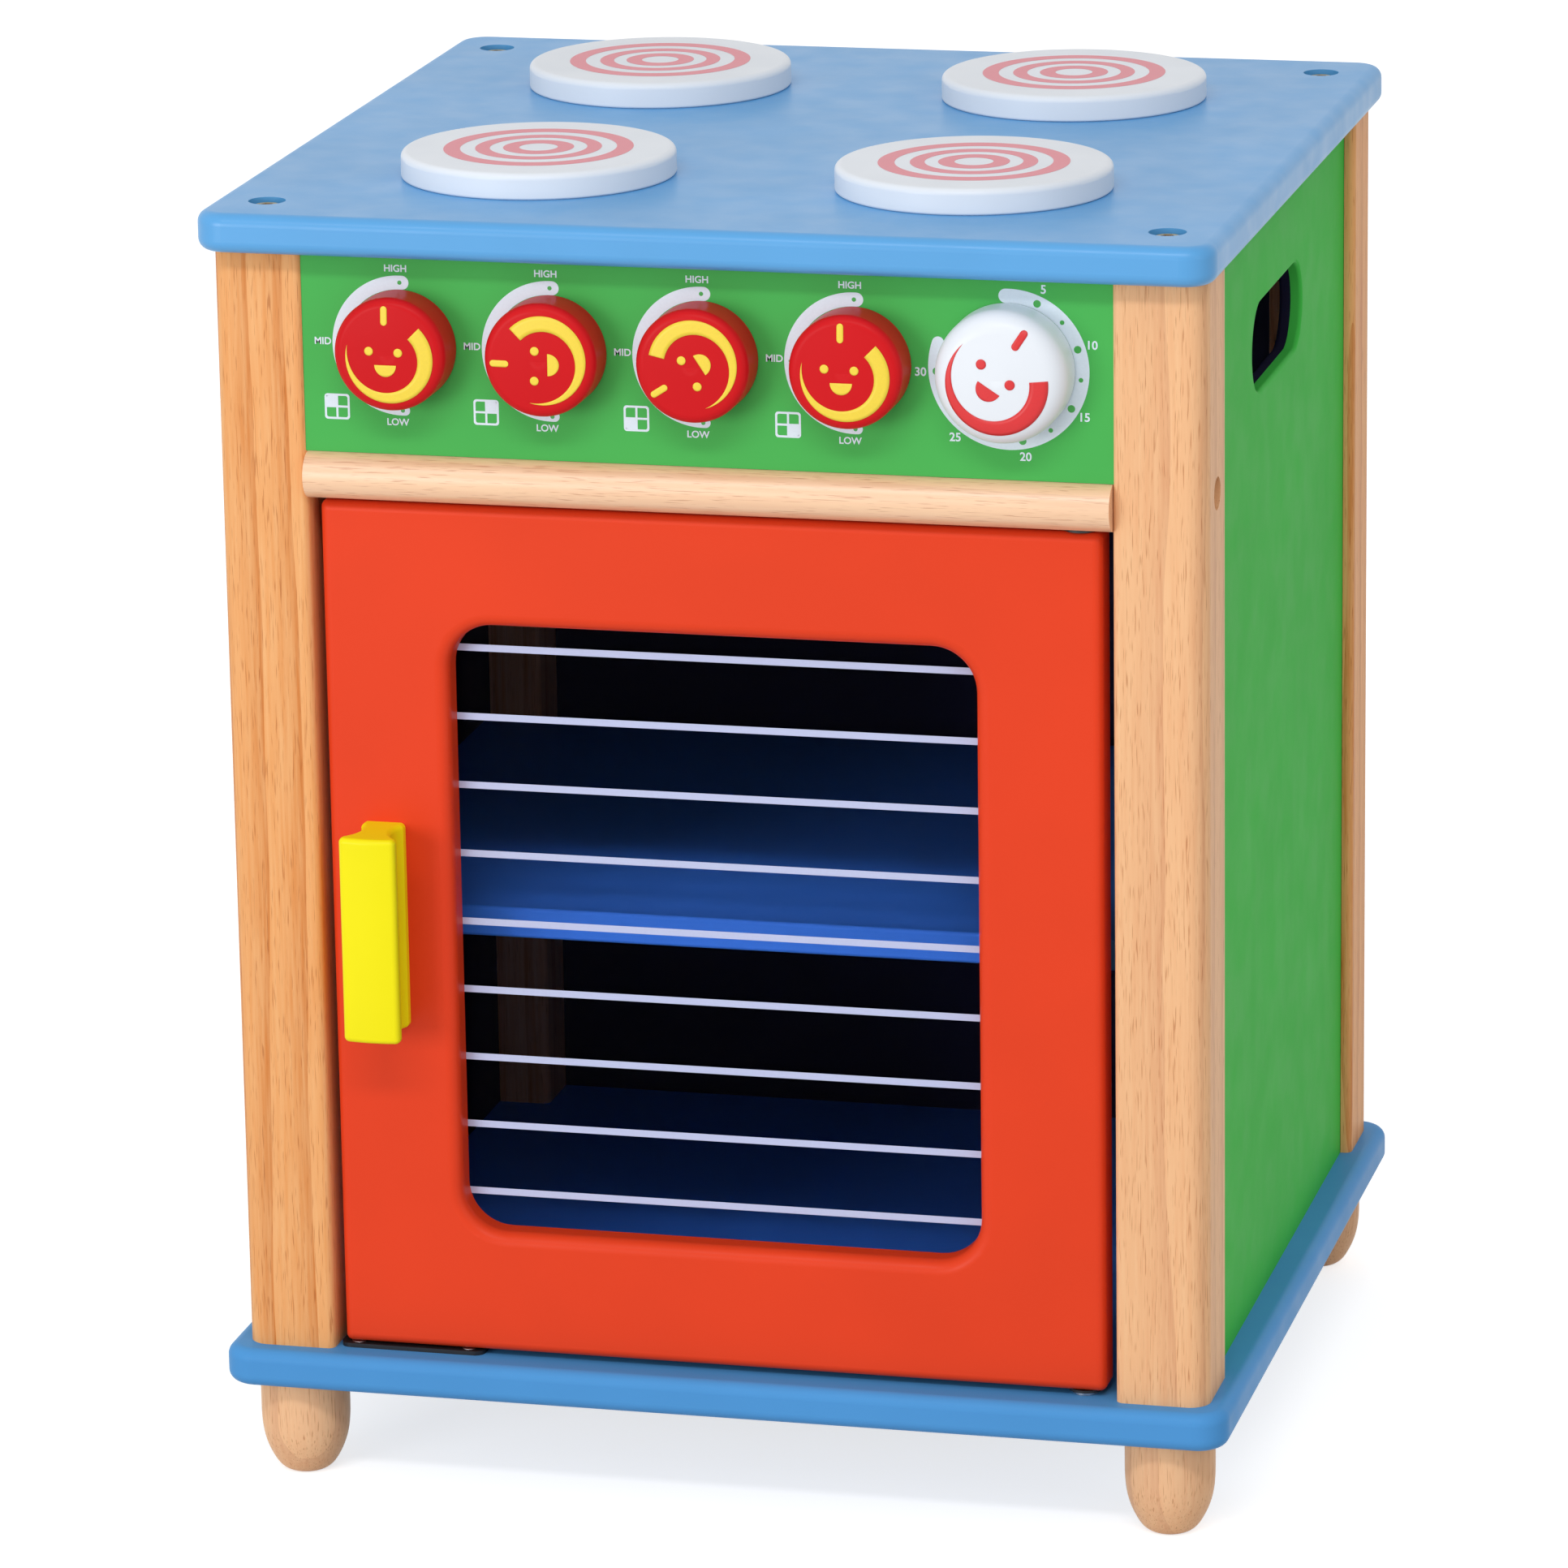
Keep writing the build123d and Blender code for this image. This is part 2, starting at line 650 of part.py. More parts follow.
for pin_name, seat_z, door_edge_z, up in (
    ("bottom", base_top, door_bottom, 1),
    ("top", rail_bottom, door_top, -1),
):
    pin_seat = Plane((hinge_x, hinge_y, seat_z), z_dir=(0, 0, up))
    with BuildPart(pin_seat) as hinge_pin:
        with Locations((0, 0, -socket_depth)):
            Cylinder(
                hinge_pin_radius,
                socket_depth + abs(door_edge_z - seat_z) + hinge_pin_reach,
                align=(Align.CENTER, Align.CENTER, Align.MIN),
            )
        if up > 0:
            # the lower pin has a collar that carries the door
            Cylinder(hinge_collar_radius, bottom_collar, align=(Align.CENTER, Align.CENTER, Align.MIN))
    hinge_pin.part.label = f"hinge_pin_{pin_name}"
    export_step(hinge_pin.part, f"parts/hinge_pin_{pin_name}.step")

    bush_mouth = Plane((hinge_x, hinge_y, door_edge_z), z_dir=(0, 0, up))
    with BuildPart(bush_mouth) as hinge_bush:
        Cylinder(bush_radius, bush_depth, align=(Align.CENTER, Align.CENTER, Align.MIN))
        Cylinder(bush_flange_radius, bush_flange, align=(Align.CENTER, Align.CENTER, Align.MAX))
        Cylinder(hinge_pin_radius + running_play, 2 * (bush_depth + bush_flange), mode=Mode.SUBTRACT)
    hinge_bush.part.label = f"hinge_bush_{pin_name}"
    export_step(hinge_bush.part, f"parts/hinge_bush_{pin_name}.step")

# ---------------------------------------------------------------- strike plate and magnetic catch
catch_x = catch_post_gap + catch_length / 2 - post_inner_x
catch_y = front_y + catch_front
pole_front = door_back + strike_thickness + strike_gap
housing_front = pole_front + pole_proud
magnet_z = base_top + (catch_flange + catch_housing_height) / 2
stack_half_height = magnet_thickness / 2 + pole_thickness

with BuildPart() as strike_plate:
    with BuildSketch(Plane.XZ.offset(-door_back)):
        with Locations((catch_x, door_bottom + strike_rise + strike_height / 2)):
            RectangleRounded(strike_length, strike_height, catch_housing_radius)
            with GridLocations(strike_length - strike_height, 1, 2, 1):
                Circle(strike_hole_radius, mode=Mode.SUBTRACT)
    extrude(amount=-strike_thickness)
strike_plate.part.label = "strike_plate"
export_step(strike_plate.part, "parts/strike_plate.step")

with BuildPart() as catch_body:
    with BuildSketch(Plane.XY.offset(base_top)):
        with Locations((catch_x, catch_y + catch_depth / 2)):
            RectangleRounded(catch_length, catch_depth, catch_end_radius)
        with Locations((catch_x, catch_y + catch_screw_setback)):
            with GridLocations(catch_screw_spacing, 1, 2, 1):
                Circle(catch_screw_radius, mode=Mode.SUBTRACT)
    extrude(amount=catch_flange)
    with BuildSketch(Plane.XY.offset(base_top)):
        with Locations((catch_x, housing_front)):
            Rectangle(
                catch_housing_length, catch_y + catch_depth - housing_front, align=(Align.CENTER, Align.MIN)
            )
    extrude(amount=catch_housing_height)
    fillet(catch_body.faces().sort_by(Axis.Z)[-1].edges(), catch_housing_radius)
    # pocket for the magnet and its two pole plates, open to the front
    with Locations((catch_x, housing_front, magnet_z)):
        Box(
            magnet_length + 2 * magnet_play,
            magnet_depth + magnet_play,
            2 * (stack_half_height + magnet_play),
            align=(Align.CENTER, Align.MIN, Align.CENTER),
            mode=Mode.SUBTRACT,
        )
catch_body.part.label = "catch_body"
export_step(catch_body.part, "parts/catch_body.step")

with BuildPart() as catch_magnet:
    with Locations((catch_x, housing_front, magnet_z)):
        Box(magnet_length, magnet_depth, magnet_thickness, align=(Align.CENTER, Align.MIN, Align.CENTER))
catch_magnet.part.label = "catch_magnet"
export_step(catch_magnet.part, "parts/catch_magnet.step")

for pole_name, up in (("lower", -1), ("upper", 1)):
    with BuildPart() as pole_plate:
        with Locations((catch_x, pole_front, magnet_z + up * (magnet_thickness + pole_thickness) / 2)):
            Box(
                magnet_length,
                pole_proud + magnet_depth,
                pole_thickness,
                align=(Align.CENTER, Align.MIN, Align.CENTER),
            )
    pole_plate.part.label = f"pole_plate_{pole_name}"
    export_step(pole_plate.part, f"parts/pole_plate_{pole_name}.step")

# ---------------------------------------------------------------- knobs, each turned with its spigot
spigot_end = control_panel_thickness + knob_end_gap


def turned_knob(x, radius, projection, edge_radius, dome):
    """A domed disc whose spigot runs through the control panel, bored for its screw."""
    center = (x, panel_front, knob_z)
    shoulder = dome - projection
    with BuildPart() as knob:
        with BuildSketch(Plane(center)) as section:
            with BuildLine():
                TangentArc((0, -projection), (radius, shoulder), tangent=(1, 0))
                Line((radius, shoulder), (radius, -knob_gap))
                Line((radius, -knob_gap), (knob_spigot_radius, -knob_gap))
                Line((knob_spigot_radius, -knob_gap), (knob_spigot_radius, spigot_end))
                Line((knob_spigot_radius, spigot_end), (0, spigot_end))
                Line((0, spigot_end), (0, -projection))
            make_face()
            fillet(section.vertices().sort_by_distance((radius, shoulder))[0], edge_radius)
        revolve(axis=Axis(center, (0, 1, 0)))
        with Locations(Plane((x, panel_front + spigot_end, knob_z), z_dir=(0, 1, 0))):
            Hole(knob_screw_radius + seat_play, depth=knob_screw_reach + seat_play)
    return knob.part


def knob_retainer(x):
    """A pan-head screw with a wide washer that keeps a knob in the panel and turns with it."""
    with BuildPart(Plane((x, panel_front + spigot_end, knob_z), z_dir=(0, 1, 0))) as retainer:
        Cylinder(washer_radius, washer_thickness, align=(Align.CENTER, Align.CENTER, Align.MIN))
        with Locations((0, 0, washer_thickness)):
            Cylinder(
                knob_screw_head_radius,
                knob_screw_head_height,
                align=(Align.CENTER, Align.CENTER, Align.MIN),
            )
        fillet(retainer.edges().filter_by(GeomType.CIRCLE).sort_by(Axis.Y)[-1], knob_screw_head_edge)
        Cylinder(knob_screw_radius, knob_screw_reach, align=(Align.CENTER, Align.CENTER, Align.MAX))
    return retainer.part


for number, knob_x in enumerate(knob_places, start=1):
    if number <= knob_count:
        knob_name = f"knob_{number}"
        knob = turned_knob(knob_x, knob_radius, knob_projection, knob_edge_radius, knob_dome)
    else:
        knob_name = "timer_knob"
        knob = turned_knob(knob_x, timer_radius, timer_projection, timer_edge_radius, timer_dome)
    knob.label = knob_name
    export_step(knob, f"parts/{knob_name}.step")
    retainer = knob_retainer(knob_x)
    retainer.label = f"{knob_name}_retainer"
    export_step(retainer, f"parts/{knob_name}_retainer.step")
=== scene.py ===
# %% [markdown]
# # A wooden toy oven
# The solids of the oven come ready made in the frame: boards, posts, panels, door and knobs, each where it
# belongs. This lesson gives them their finishes, prints the dials, faces and rings on them, adds the small
# screws, and sets up a plain studio. Everything is in metres, with Z up and the front facing -Y.

import math

import bmesh
import bpy
import numpy as np
from mathutils import Matrix, Vector


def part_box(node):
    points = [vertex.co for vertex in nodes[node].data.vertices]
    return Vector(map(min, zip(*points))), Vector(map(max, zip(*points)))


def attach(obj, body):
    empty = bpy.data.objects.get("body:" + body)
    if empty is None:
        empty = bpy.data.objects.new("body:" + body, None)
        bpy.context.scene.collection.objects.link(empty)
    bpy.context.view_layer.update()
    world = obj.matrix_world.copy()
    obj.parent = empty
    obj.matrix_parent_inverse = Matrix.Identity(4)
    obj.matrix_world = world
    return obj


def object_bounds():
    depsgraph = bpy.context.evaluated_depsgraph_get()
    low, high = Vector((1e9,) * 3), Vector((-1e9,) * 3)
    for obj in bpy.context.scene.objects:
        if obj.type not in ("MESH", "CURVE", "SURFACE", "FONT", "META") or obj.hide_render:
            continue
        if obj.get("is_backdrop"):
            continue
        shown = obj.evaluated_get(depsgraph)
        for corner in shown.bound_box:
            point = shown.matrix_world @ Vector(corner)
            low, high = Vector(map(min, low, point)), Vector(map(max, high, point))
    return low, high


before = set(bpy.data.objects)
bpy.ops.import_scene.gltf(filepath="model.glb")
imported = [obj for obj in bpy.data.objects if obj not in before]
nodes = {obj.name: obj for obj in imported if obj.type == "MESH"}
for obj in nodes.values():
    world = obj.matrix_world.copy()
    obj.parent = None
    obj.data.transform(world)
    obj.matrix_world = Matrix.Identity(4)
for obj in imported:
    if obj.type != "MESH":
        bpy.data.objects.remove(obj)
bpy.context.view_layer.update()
MM = 0.001

# %% [markdown]
# Most of what is added here is a surface over a grid of two parameters. It could be built face by face, but
# whole arrays keep the script fast and the shapes exact. One helper numbers the faces of a grid, another
# gathers several grids into one piece, so that a whole dial is one object, and a third finishes any mesh:
# points closer than WELD become one, and edges shorter than SLIVER go.


# %% Grids of points into pieces
WELD, SLIVER = 0.002 * MM, 0.001 * MM


def grid_faces(rows, columns, first=0):
    """The quads between neighbours of a rows by columns grid, numbered from first."""
    index = first + np.arange(rows * columns).reshape(rows, columns)
    quads = np.stack([index[:-1, :-1], index[1:, :-1], index[1:, 1:], index[:-1, 1:]], axis=-1)
    return quads.reshape(-1, 4)


def piece(name, grids, body, material, thickness=0.0, offset=1.0, smooth=True):
    """One object out of grids shaped (rows, columns, 3), each facing the way its rows cross its columns."""
    points = np.concatenate([grid.reshape(-1, 3) for grid in grids])
    starts = np.cumsum([0] + [grid.shape[0] * grid.shape[1] for grid in grids[:-1]])
    faces = np.concatenate([grid_faces(*grid.shape[:2], first) for grid, first in zip(grids, starts)])
    mesh = bpy.data.meshes.new(name)
    mesh.from_pydata(points.tolist(), [], faces.tolist())
    return finish_piece(name, mesh, body, material, thickness, offset, smooth)


def finish_piece(name, mesh, body, material, thickness=0.0, offset=1.0, smooth=True):
    """Welds a mesh's doubled points, gives it a material and a body, and a wall where one is asked for."""
    work = bmesh.new()
    work.from_mesh(mesh)
    bmesh.ops.remove_doubles(work, verts=work.verts, dist=WELD)
    bmesh.ops.dissolve_degenerate(work, edges=work.edges, dist=SLIVER)
    work.to_mesh(mesh)
    work.free()
    mesh.polygons.foreach_set("use_smooth", [smooth] * len(mesh.polygons))
    mesh.materials.append(material)
    made = bpy.data.objects.new(name, mesh)
    bpy.context.scene.collection.objects.link(made)
    if thickness:
        wall = made.modifiers.new("wall", "SOLIDIFY")
        wall.thickness = thickness
        wall.offset = offset
    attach(made, body)
    return made


print("a grid of 3 by 4 points has", len(grid_faces(3, 4)), "faces")

# %% [markdown]
# Paint colours are easiest to name the way a paint shop's screen shows them, as sRGB hex values. Shaders
# work in linear light, so one function translates. A second one makes a darker or lighter copy of a colour.
# A third adds a node with its settings and links, which keeps every material down to a short list of steps.


# %% Colours and nodes
def linear(hexa):
    """An sRGB hex colour as linear RGBA: a dark channel is divided by 12.92, and any other one is raised
    by 0.055, divided by 1.055 and taken to the power of 2.4."""
    channels = np.array([int(hexa[i : i + 2], 16) for i in (1, 3, 5)]) / 255
    low, high = channels / 12.92, ((channels + 0.055) / 1.055) ** 2.4
    return (*np.where(channels <= 0.04045, low, high).tolist(), 1.0)


def shaded(hexa, factor):
    """A colour times a factor in linear light, clipped at white."""
    return (*np.minimum(np.array(linear(hexa)[:3]) * factor, 1.0), 1.0)


def add(tree, kind, settings=None, inputs=None):
    """Adds one node; inputs maps a socket's name or number to a value or to another node's output."""
    node = tree.nodes.new(kind)
    for key, value in (settings or {}).items():
        setattr(node, key, value)
    for key, value in (inputs or {}).items():
        if isinstance(value, bpy.types.NodeSocket):
            tree.links.new(value, node.inputs[key])
        else:
            node.inputs[key].default_value = value
    return node


def new_material(name):
    """An empty node material and its tree."""
    material = bpy.data.materials.new(name)
    material.use_nodes = True
    material.node_tree.nodes.clear()
    return material, material.node_tree


print("a grey of #808080 is", round(linear("#808080")[0], 3), "in linear light")

# %% [markdown]
# The boards, panels and knobs are sprayed with a satin acrylic lacquer, sanded between coats. Such a film
# is even in colour but never quite: it drifts a little over a hand's width, it has a faint orange peel about
# a millimetre and a half across, and its gloss varies where the coat lies thicker. Three noises of those
# sizes drive the colour, the bump and the roughness.

# %% Satin lacquer
DRIFT, GLOSS, PEEL = 70 * MM, 16 * MM, 1.5 * MM


def satin_lacquer(name, hexa, roughness=0.4, shine=0.12, peel=1.0, shade_lining=None):
    """Sprayed acrylic lacquer: its colour drifts over DRIFT, its roughness varies by a tenth over GLOSS,
    and its orange peel is PEEL across. A shade lining is a second, dark colour and a half-width: it covers
    every point with |x| under that, as painted shade for the inside of the oven."""
    material, tree = new_material(name)
    place = add(tree, "ShaderNodeTexCoord").outputs["Object"]
    drift = add(tree, "ShaderNodeTexNoise", None, {"Vector": place, "Scale": 1 / DRIFT, "Detail": 2.0})
    shade = add(tree, "ShaderNodeMapRange", None, {"Value": drift.outputs["Fac"], "From Min": 0.35,
                "From Max": 0.65, "To Min": 0.0, "To Max": 1.0})
    colour = add(tree, "ShaderNodeMix", {"data_type": "RGBA"},
                 {0: shade.outputs["Result"], 6: shaded(hexa, 0.97), 7: shaded(hexa, 1.02)})
    # The lining is painted shade: a dark colour over the half of the board that faces the oven's inside.
    if shade_lining:
        shade_hexa, half_width = shade_lining
        across = add(tree, "ShaderNodeSeparateXYZ", None, {0: place}).outputs["X"]
        apart = add(tree, "ShaderNodeMath", {"operation": "ABSOLUTE"}, {0: across})
        inside = add(tree, "ShaderNodeMath", {"operation": "LESS_THAN"},
                     {0: apart.outputs[0], 1: half_width})
        colour = add(tree, "ShaderNodeMix", {"data_type": "RGBA"},
                     {0: inside.outputs[0], 6: colour.outputs[2], 7: linear(shade_hexa)})
    gloss = add(tree, "ShaderNodeTexNoise", None, {"Vector": place, "Scale": 1 / GLOSS, "Detail": 3.0})
    rough = add(tree, "ShaderNodeMapRange", None, {"Value": gloss.outputs["Fac"], "From Min": 0.3,
                "From Max": 0.7, "To Min": roughness - 0.03, "To Max": roughness + 0.06})
    skin = add(tree, "ShaderNodeTexNoise", None, {"Vector": place, "Scale": 1 / PEEL, "Detail": 1.0})
    bump = add(tree, "ShaderNodeBump", None, {"Height": skin.outputs["Fac"], "Strength": 0.25 * peel,
               "Distance": 0.03 * MM})
    shader = add(tree, "ShaderNodeBsdfPrincipled", None, {"Base Color": colour.outputs[2],
                 "Roughness": rough.outputs["Result"], "Normal": bump.outputs["Normal"],
                 "Specular IOR Level": shine})
    add(tree, "ShaderNodeOutputMaterial", None, {"Surface": shader.outputs[0]})
    return material


print("lacquer varies over", [round(size / MM, 1) for size in (DRIFT, GLOSS, PEEL)], "mm")

# %% [markdown]
# Every painted part gets its colour and its gloss. The worktop has one more coat than the rest and mirrors
# the room a little, and its blue is a little lighter than the other boards', a painted sheen for the light
# that its top catches. The side panels are flatted almost dull. Their green is lighter than the control
# panel's, painted light that makes up for the weaker light on the sides. Inside they are navy, painted shade
# for the dark inside of the closed oven, so their lacquer changes colour half way into the board, where the
# hand slot cuts through it. The back panel is navy all over, the same painted shade.

# %% The paints
# SHADE_NAVY is painted shade for the dark inside of the closed oven, where little light gets in.
SHADE_NAVY = "#1D1B30"
side_low, side_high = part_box("side_panel_right")
half_way = (side_low[0] + side_high[0]) / 2
blue_lacquer = satin_lacquer("blue_satin_lacquer", "#5198D7", roughness=0.36, shine=0.05)
# The worktop's blue is a little lighter than the other boards': a painted sheen for the light its top
# catches.
top_sheen_lacquer = satin_lacquer("blue_worktop_sheen_lacquer", "#58A2DC", roughness=0.32, shine=0.38)
green_lacquer = satin_lacquer("green_satin_lacquer", "#4CB356", roughness=0.4, shine=0.1)
# The sides' green is lighter than the control panel's: painted light for the weaker light on the sides.
side_light_and_shade_lacquer = satin_lacquer("lightened_green_lacquer_navy_shade_inside", "#46BE4C", roughness=0.45, shine=0.02,
                             shade_lining=(SHADE_NAVY, half_way))
red_lacquer = satin_lacquer("red_satin_lacquer", "#E5411E", roughness=0.36, shine=0.16)
# The back panel's navy is painted shade for the dark inside of the oven; its outside takes the same colour.
navy_shade_lacquer = satin_lacquer("navy_shade_satin_lacquer", SHADE_NAVY, roughness=0.5)
white_lacquer = satin_lacquer("white_satin_lacquer", "#E6EBF2", roughness=0.35, shine=0.25)
knob_lacquer = satin_lacquer("red_gloss_lacquer", "#CE181E", roughness=0.36, shine=0.1, peel=0.6)
yellow_lacquer = satin_lacquer("yellow_gloss_lacquer", "#F6EA10", roughness=0.36, shine=0.15, peel=0.6)
print("the side panels turn navy", round(half_way / MM, 1), "mm from the middle")

# %% [markdown]
# The posts, the rail and the turned feet are rubberwood under a clear satin varnish. Its rings are broad and
# faint, and its open pores show as brown dashes along the grain, up to a centimetre long and under half a
# millimetre wide. The rings are drawn round a pith that lies beside the piece, so that each face shows the
# cut that a real sawn post would.

# %% Varnished wood
RING_SPACING = 12 * MM
WAVE_RATE = 20  # the wave node turns by 20 radians for each unit of its scaled distance


def per(*sizes):
    """How often a pattern repeats in a metre, for each of its sizes in millimetres."""
    return tuple(1 / (size * MM) for size in sizes)


def varnished_wood(name, pith, turn=(0.0, 0.0, 0.0), pale=0.0, shine=0.06, roughness=0.34):
    """Wood with its grain along Z before turn: rings round the pith, streaks, and pores as dashes. Slow
    noise bends the rings by up to 14 mm, and pale is the share of a bleached tone."""
    material, tree = new_material(name)
    place = add(tree, "ShaderNodeTexCoord").outputs["Object"]
    along = add(tree, "ShaderNodeMapping", {"vector_type": "TEXTURE"},
                {"Vector": place, "Location": pith, "Rotation": turn})
    slow = add(tree, "ShaderNodeMapping", None, {"Vector": along.outputs[0], "Scale": per(28, 28, 260)})
    sway = add(tree, "ShaderNodeTexNoise", None, {"Vector": slow.outputs[0], "Scale": 1.0, "Detail": 2.0})
    shift = add(tree, "ShaderNodeVectorMath", {"operation": "SCALE"},
                {0: sway.outputs["Color"], "Scale": 14 * MM})
    bent = add(tree, "ShaderNodeVectorMath", {"operation": "ADD"},
               {0: along.outputs[0], 1: shift.outputs[0]})
    rings = add(tree, "ShaderNodeTexWave", {"wave_type": "RINGS", "rings_direction": "Z",
                "wave_profile": "SAW"}, {"Vector": bent.outputs[0],
                "Scale": 2 * math.pi / WAVE_RATE / RING_SPACING, "Distortion": 0.0})
    late = add(tree, "ShaderNodeMath", {"operation": "POWER"}, {0: rings.outputs["Fac"], 1: 2.5})
    streak_place = add(tree, "ShaderNodeMapping", None,
                       {"Vector": along.outputs[0], "Scale": per(1.6, 1.6, 45)})
    streaks = add(tree, "ShaderNodeTexNoise", None, {"Vector": streak_place.outputs[0], "Scale": 1.0,
                  "Detail": 3.0})
    pore_place = add(tree, "ShaderNodeMapping", None,
                     {"Vector": along.outputs[0], "Scale": per(0.45, 0.45, 10)})
    pores = add(tree, "ShaderNodeTexNoise", None, {"Vector": pore_place.outputs[0], "Scale": 1.0,
                "Detail": 1.0})
    dash = add(tree, "ShaderNodeMapRange", None, {"Value": pores.outputs["Fac"], "From Min": 0.6,
               "From Max": 0.74})
    ring_colour = add(tree, "ShaderNodeMix", {"data_type": "RGBA"},
                      {0: late.outputs[0], 6: linear("#EDA668"), 7: linear("#D07C3C")})
    streak_shade = add(tree, "ShaderNodeMapRange", None, {"Value": streaks.outputs["Fac"],
                       "From Min": 0.3, "From Max": 0.7, "To Min": 0.0, "To Max": 0.5})
    body_colour = add(tree, "ShaderNodeMix", {"data_type": "RGBA"},
                      {0: streak_shade.outputs["Result"], 6: ring_colour.outputs[2], 7: linear("#F8C48C")})
    bleached = add(tree, "ShaderNodeMix", {"data_type": "RGBA"},
                   {0: pale, 6: body_colour.outputs[2], 7: linear("#FBDDBD")})
    dark = add(tree, "ShaderNodeMath", {"operation": "MULTIPLY"}, {0: dash.outputs["Result"], 1: 0.55})
    colour = add(tree, "ShaderNodeMix", {"data_type": "RGBA"},
                 {0: dark.outputs[0], 6: bleached.outputs[2], 7: linear("#A85A28")})
    rough = add(tree, "ShaderNodeMapRange", None, {"Value": streaks.outputs["Fac"], "To Min": roughness,
                "To Max": roughness + 0.12})
    bump = add(tree, "ShaderNodeBump", {"invert": True}, {"Height": dash.outputs["Result"],
               "Strength": 0.15, "Distance": 0.05 * MM})
    shader = add(tree, "ShaderNodeBsdfPrincipled", None, {"Base Color": colour.outputs[2],
                 "Roughness": rough.outputs["Result"], "Normal": bump.outputs["Normal"],
                 "Specular IOR Level": shine})
    add(tree, "ShaderNodeOutputMaterial", None, {"Surface": shader.outputs[0]})
    return material


print("rings", round(RING_SPACING / MM), "mm apart")

# %% [markdown]
# Each stick is sawn from another board, so each has a pith of its own, and no two have the same shade. The
# rail and the feet come from paler stock than the posts, and the rounded rail, whose grain is turned to lie
# along X, has been rubbed to a gloss.

# %% The sticks
post_woods = {
    "front_left": varnished_wood("rubberwood_post_front_left", (-0.27, -0.10, 0.31)),
    "front_right": varnished_wood("rubberwood_post_front_right", (0.11, -0.26, 0.12), pale=0.3),
    "rear_left": varnished_wood("rubberwood_post_rear_left", (-0.08, 0.21, 0.55)),
    "rear_right": varnished_wood("rubberwood_post_rear_right", (0.25, 0.09, 0.87)),
}
foot_wood = varnished_wood("rubberwood_foot", (-0.31, 0.17, -0.2), pale=0.4)
rail_wood = varnished_wood("rubberwood_rail", (0.3, -0.22, 0.37), (0.0, math.radians(90), 0.0),
                           pale=0.55, shine=1.0, roughness=0.29)
print("woods:", [wood.name for wood in (*post_woods.values(), foot_wood, rail_wood)])

# %% [markdown]
# The small metal parts are turned or stamped and then plated. Plating is bright but not a mirror, with fine
# marks from tumbling in the drum. The catch is moulded in black ABS, the bushes in nylon, and the magnet is
# a block of sintered ferrite with a dull, grainy skin.


# %% Metals and plastics
def plated_metal(name, hexa, roughness):
    """Plated steel: full metal, tumbling marks of 0.4 mm in the bump, roughness that drifts over 3 mm."""
    material, tree = new_material(name)
    place = add(tree, "ShaderNodeTexCoord").outputs["Object"]
    marks = add(tree, "ShaderNodeTexNoise", None, {"Vector": place, "Scale": 1 / (0.4 * MM)})
    drift = add(tree, "ShaderNodeTexNoise", None, {"Vector": place, "Scale": 1 / (3 * MM)})
    rough = add(tree, "ShaderNodeMapRange", None, {"Value": drift.outputs["Fac"],
                "To Min": roughness - 0.08, "To Max": roughness + 0.1})
    bump = add(tree, "ShaderNodeBump", None, {"Height": marks.outputs["Fac"], "Strength": 0.2,
               "Distance": 0.02 * MM})
    shader = add(tree, "ShaderNodeBsdfPrincipled", None, {"Base Color": linear(hexa), "Metallic": 1.0,
                 "Roughness": rough.outputs["Result"], "Normal": bump.outputs["Normal"]})
    add(tree, "ShaderNodeOutputMaterial", None, {"Surface": shader.outputs[0]})
    return material


def moulded(name, hexa, roughness, grain):
    """A moulded or sintered solid: one colour with a fine grain, in mm, that breaks its gloss."""
    material, tree = new_material(name)
    place = add(tree, "ShaderNodeTexCoord").outputs["Object"]
    skin = add(tree, "ShaderNodeTexNoise", None, {"Vector": place, "Scale": 1 / (grain * MM)})
    colour = add(tree, "ShaderNodeMix", {"data_type": "RGBA"},
                 {0: skin.outputs["Fac"], 6: shaded(hexa, 0.85), 7: shaded(hexa, 1.15)})
    rough = add(tree, "ShaderNodeMapRange", None, {"Value": skin.outputs["Fac"],
                "To Min": roughness - 0.08, "To Max": roughness + 0.08})
    bump = add(tree, "ShaderNodeBump", None, {"Height": skin.outputs["Fac"], "Strength": 0.2,
               "Distance": 0.03 * MM})
    shader = add(tree, "ShaderNodeBsdfPrincipled", None, {"Base Color": colour.outputs[2],
                 "Roughness": rough.outputs["Result"], "Normal": bump.outputs["Normal"]})
    add(tree, "ShaderNodeOutputMaterial", None, {"Surface": shader.outputs[0]})
    return material


zinc_steel = plated_metal("zinc_plated_steel", "#C9CCD1", 0.3)
brass_plate = plated_metal("brass_plated_steel", "#D9BE86", 0.3)
black_abs = moulded("black_moulded_abs", "#17171A", 0.42, 0.6)
nylon = moulded("black_moulded_nylon", "#1B1B1D", 0.45, 0.5)
ferrite = moulded("sintered_ferrite", "#35363B", 0.6, 0.3)
print("metals and plastics:", [m.name for m in (zinc_steel, brass_plate, black_abs, nylon, ferrite)])

# %% [markdown]
# The window is a sheet of clear cast acrylic, 3 mm thick. Its tint, a faint violet cast, is made darker than
# clear acrylic as painted shade for the dim inside of the oven. A solid sheet would stop the lamps' straight
# light, which keeps a render's oven dark for the wrong reason, so lamp rays pass through it as through
# tinted air. Acrylic's index is 1.49; in a white surround that index lays a grey veil of reflections over
# the oven's dark inside, so the sheet takes 1.05 here, as a coated pane would look.

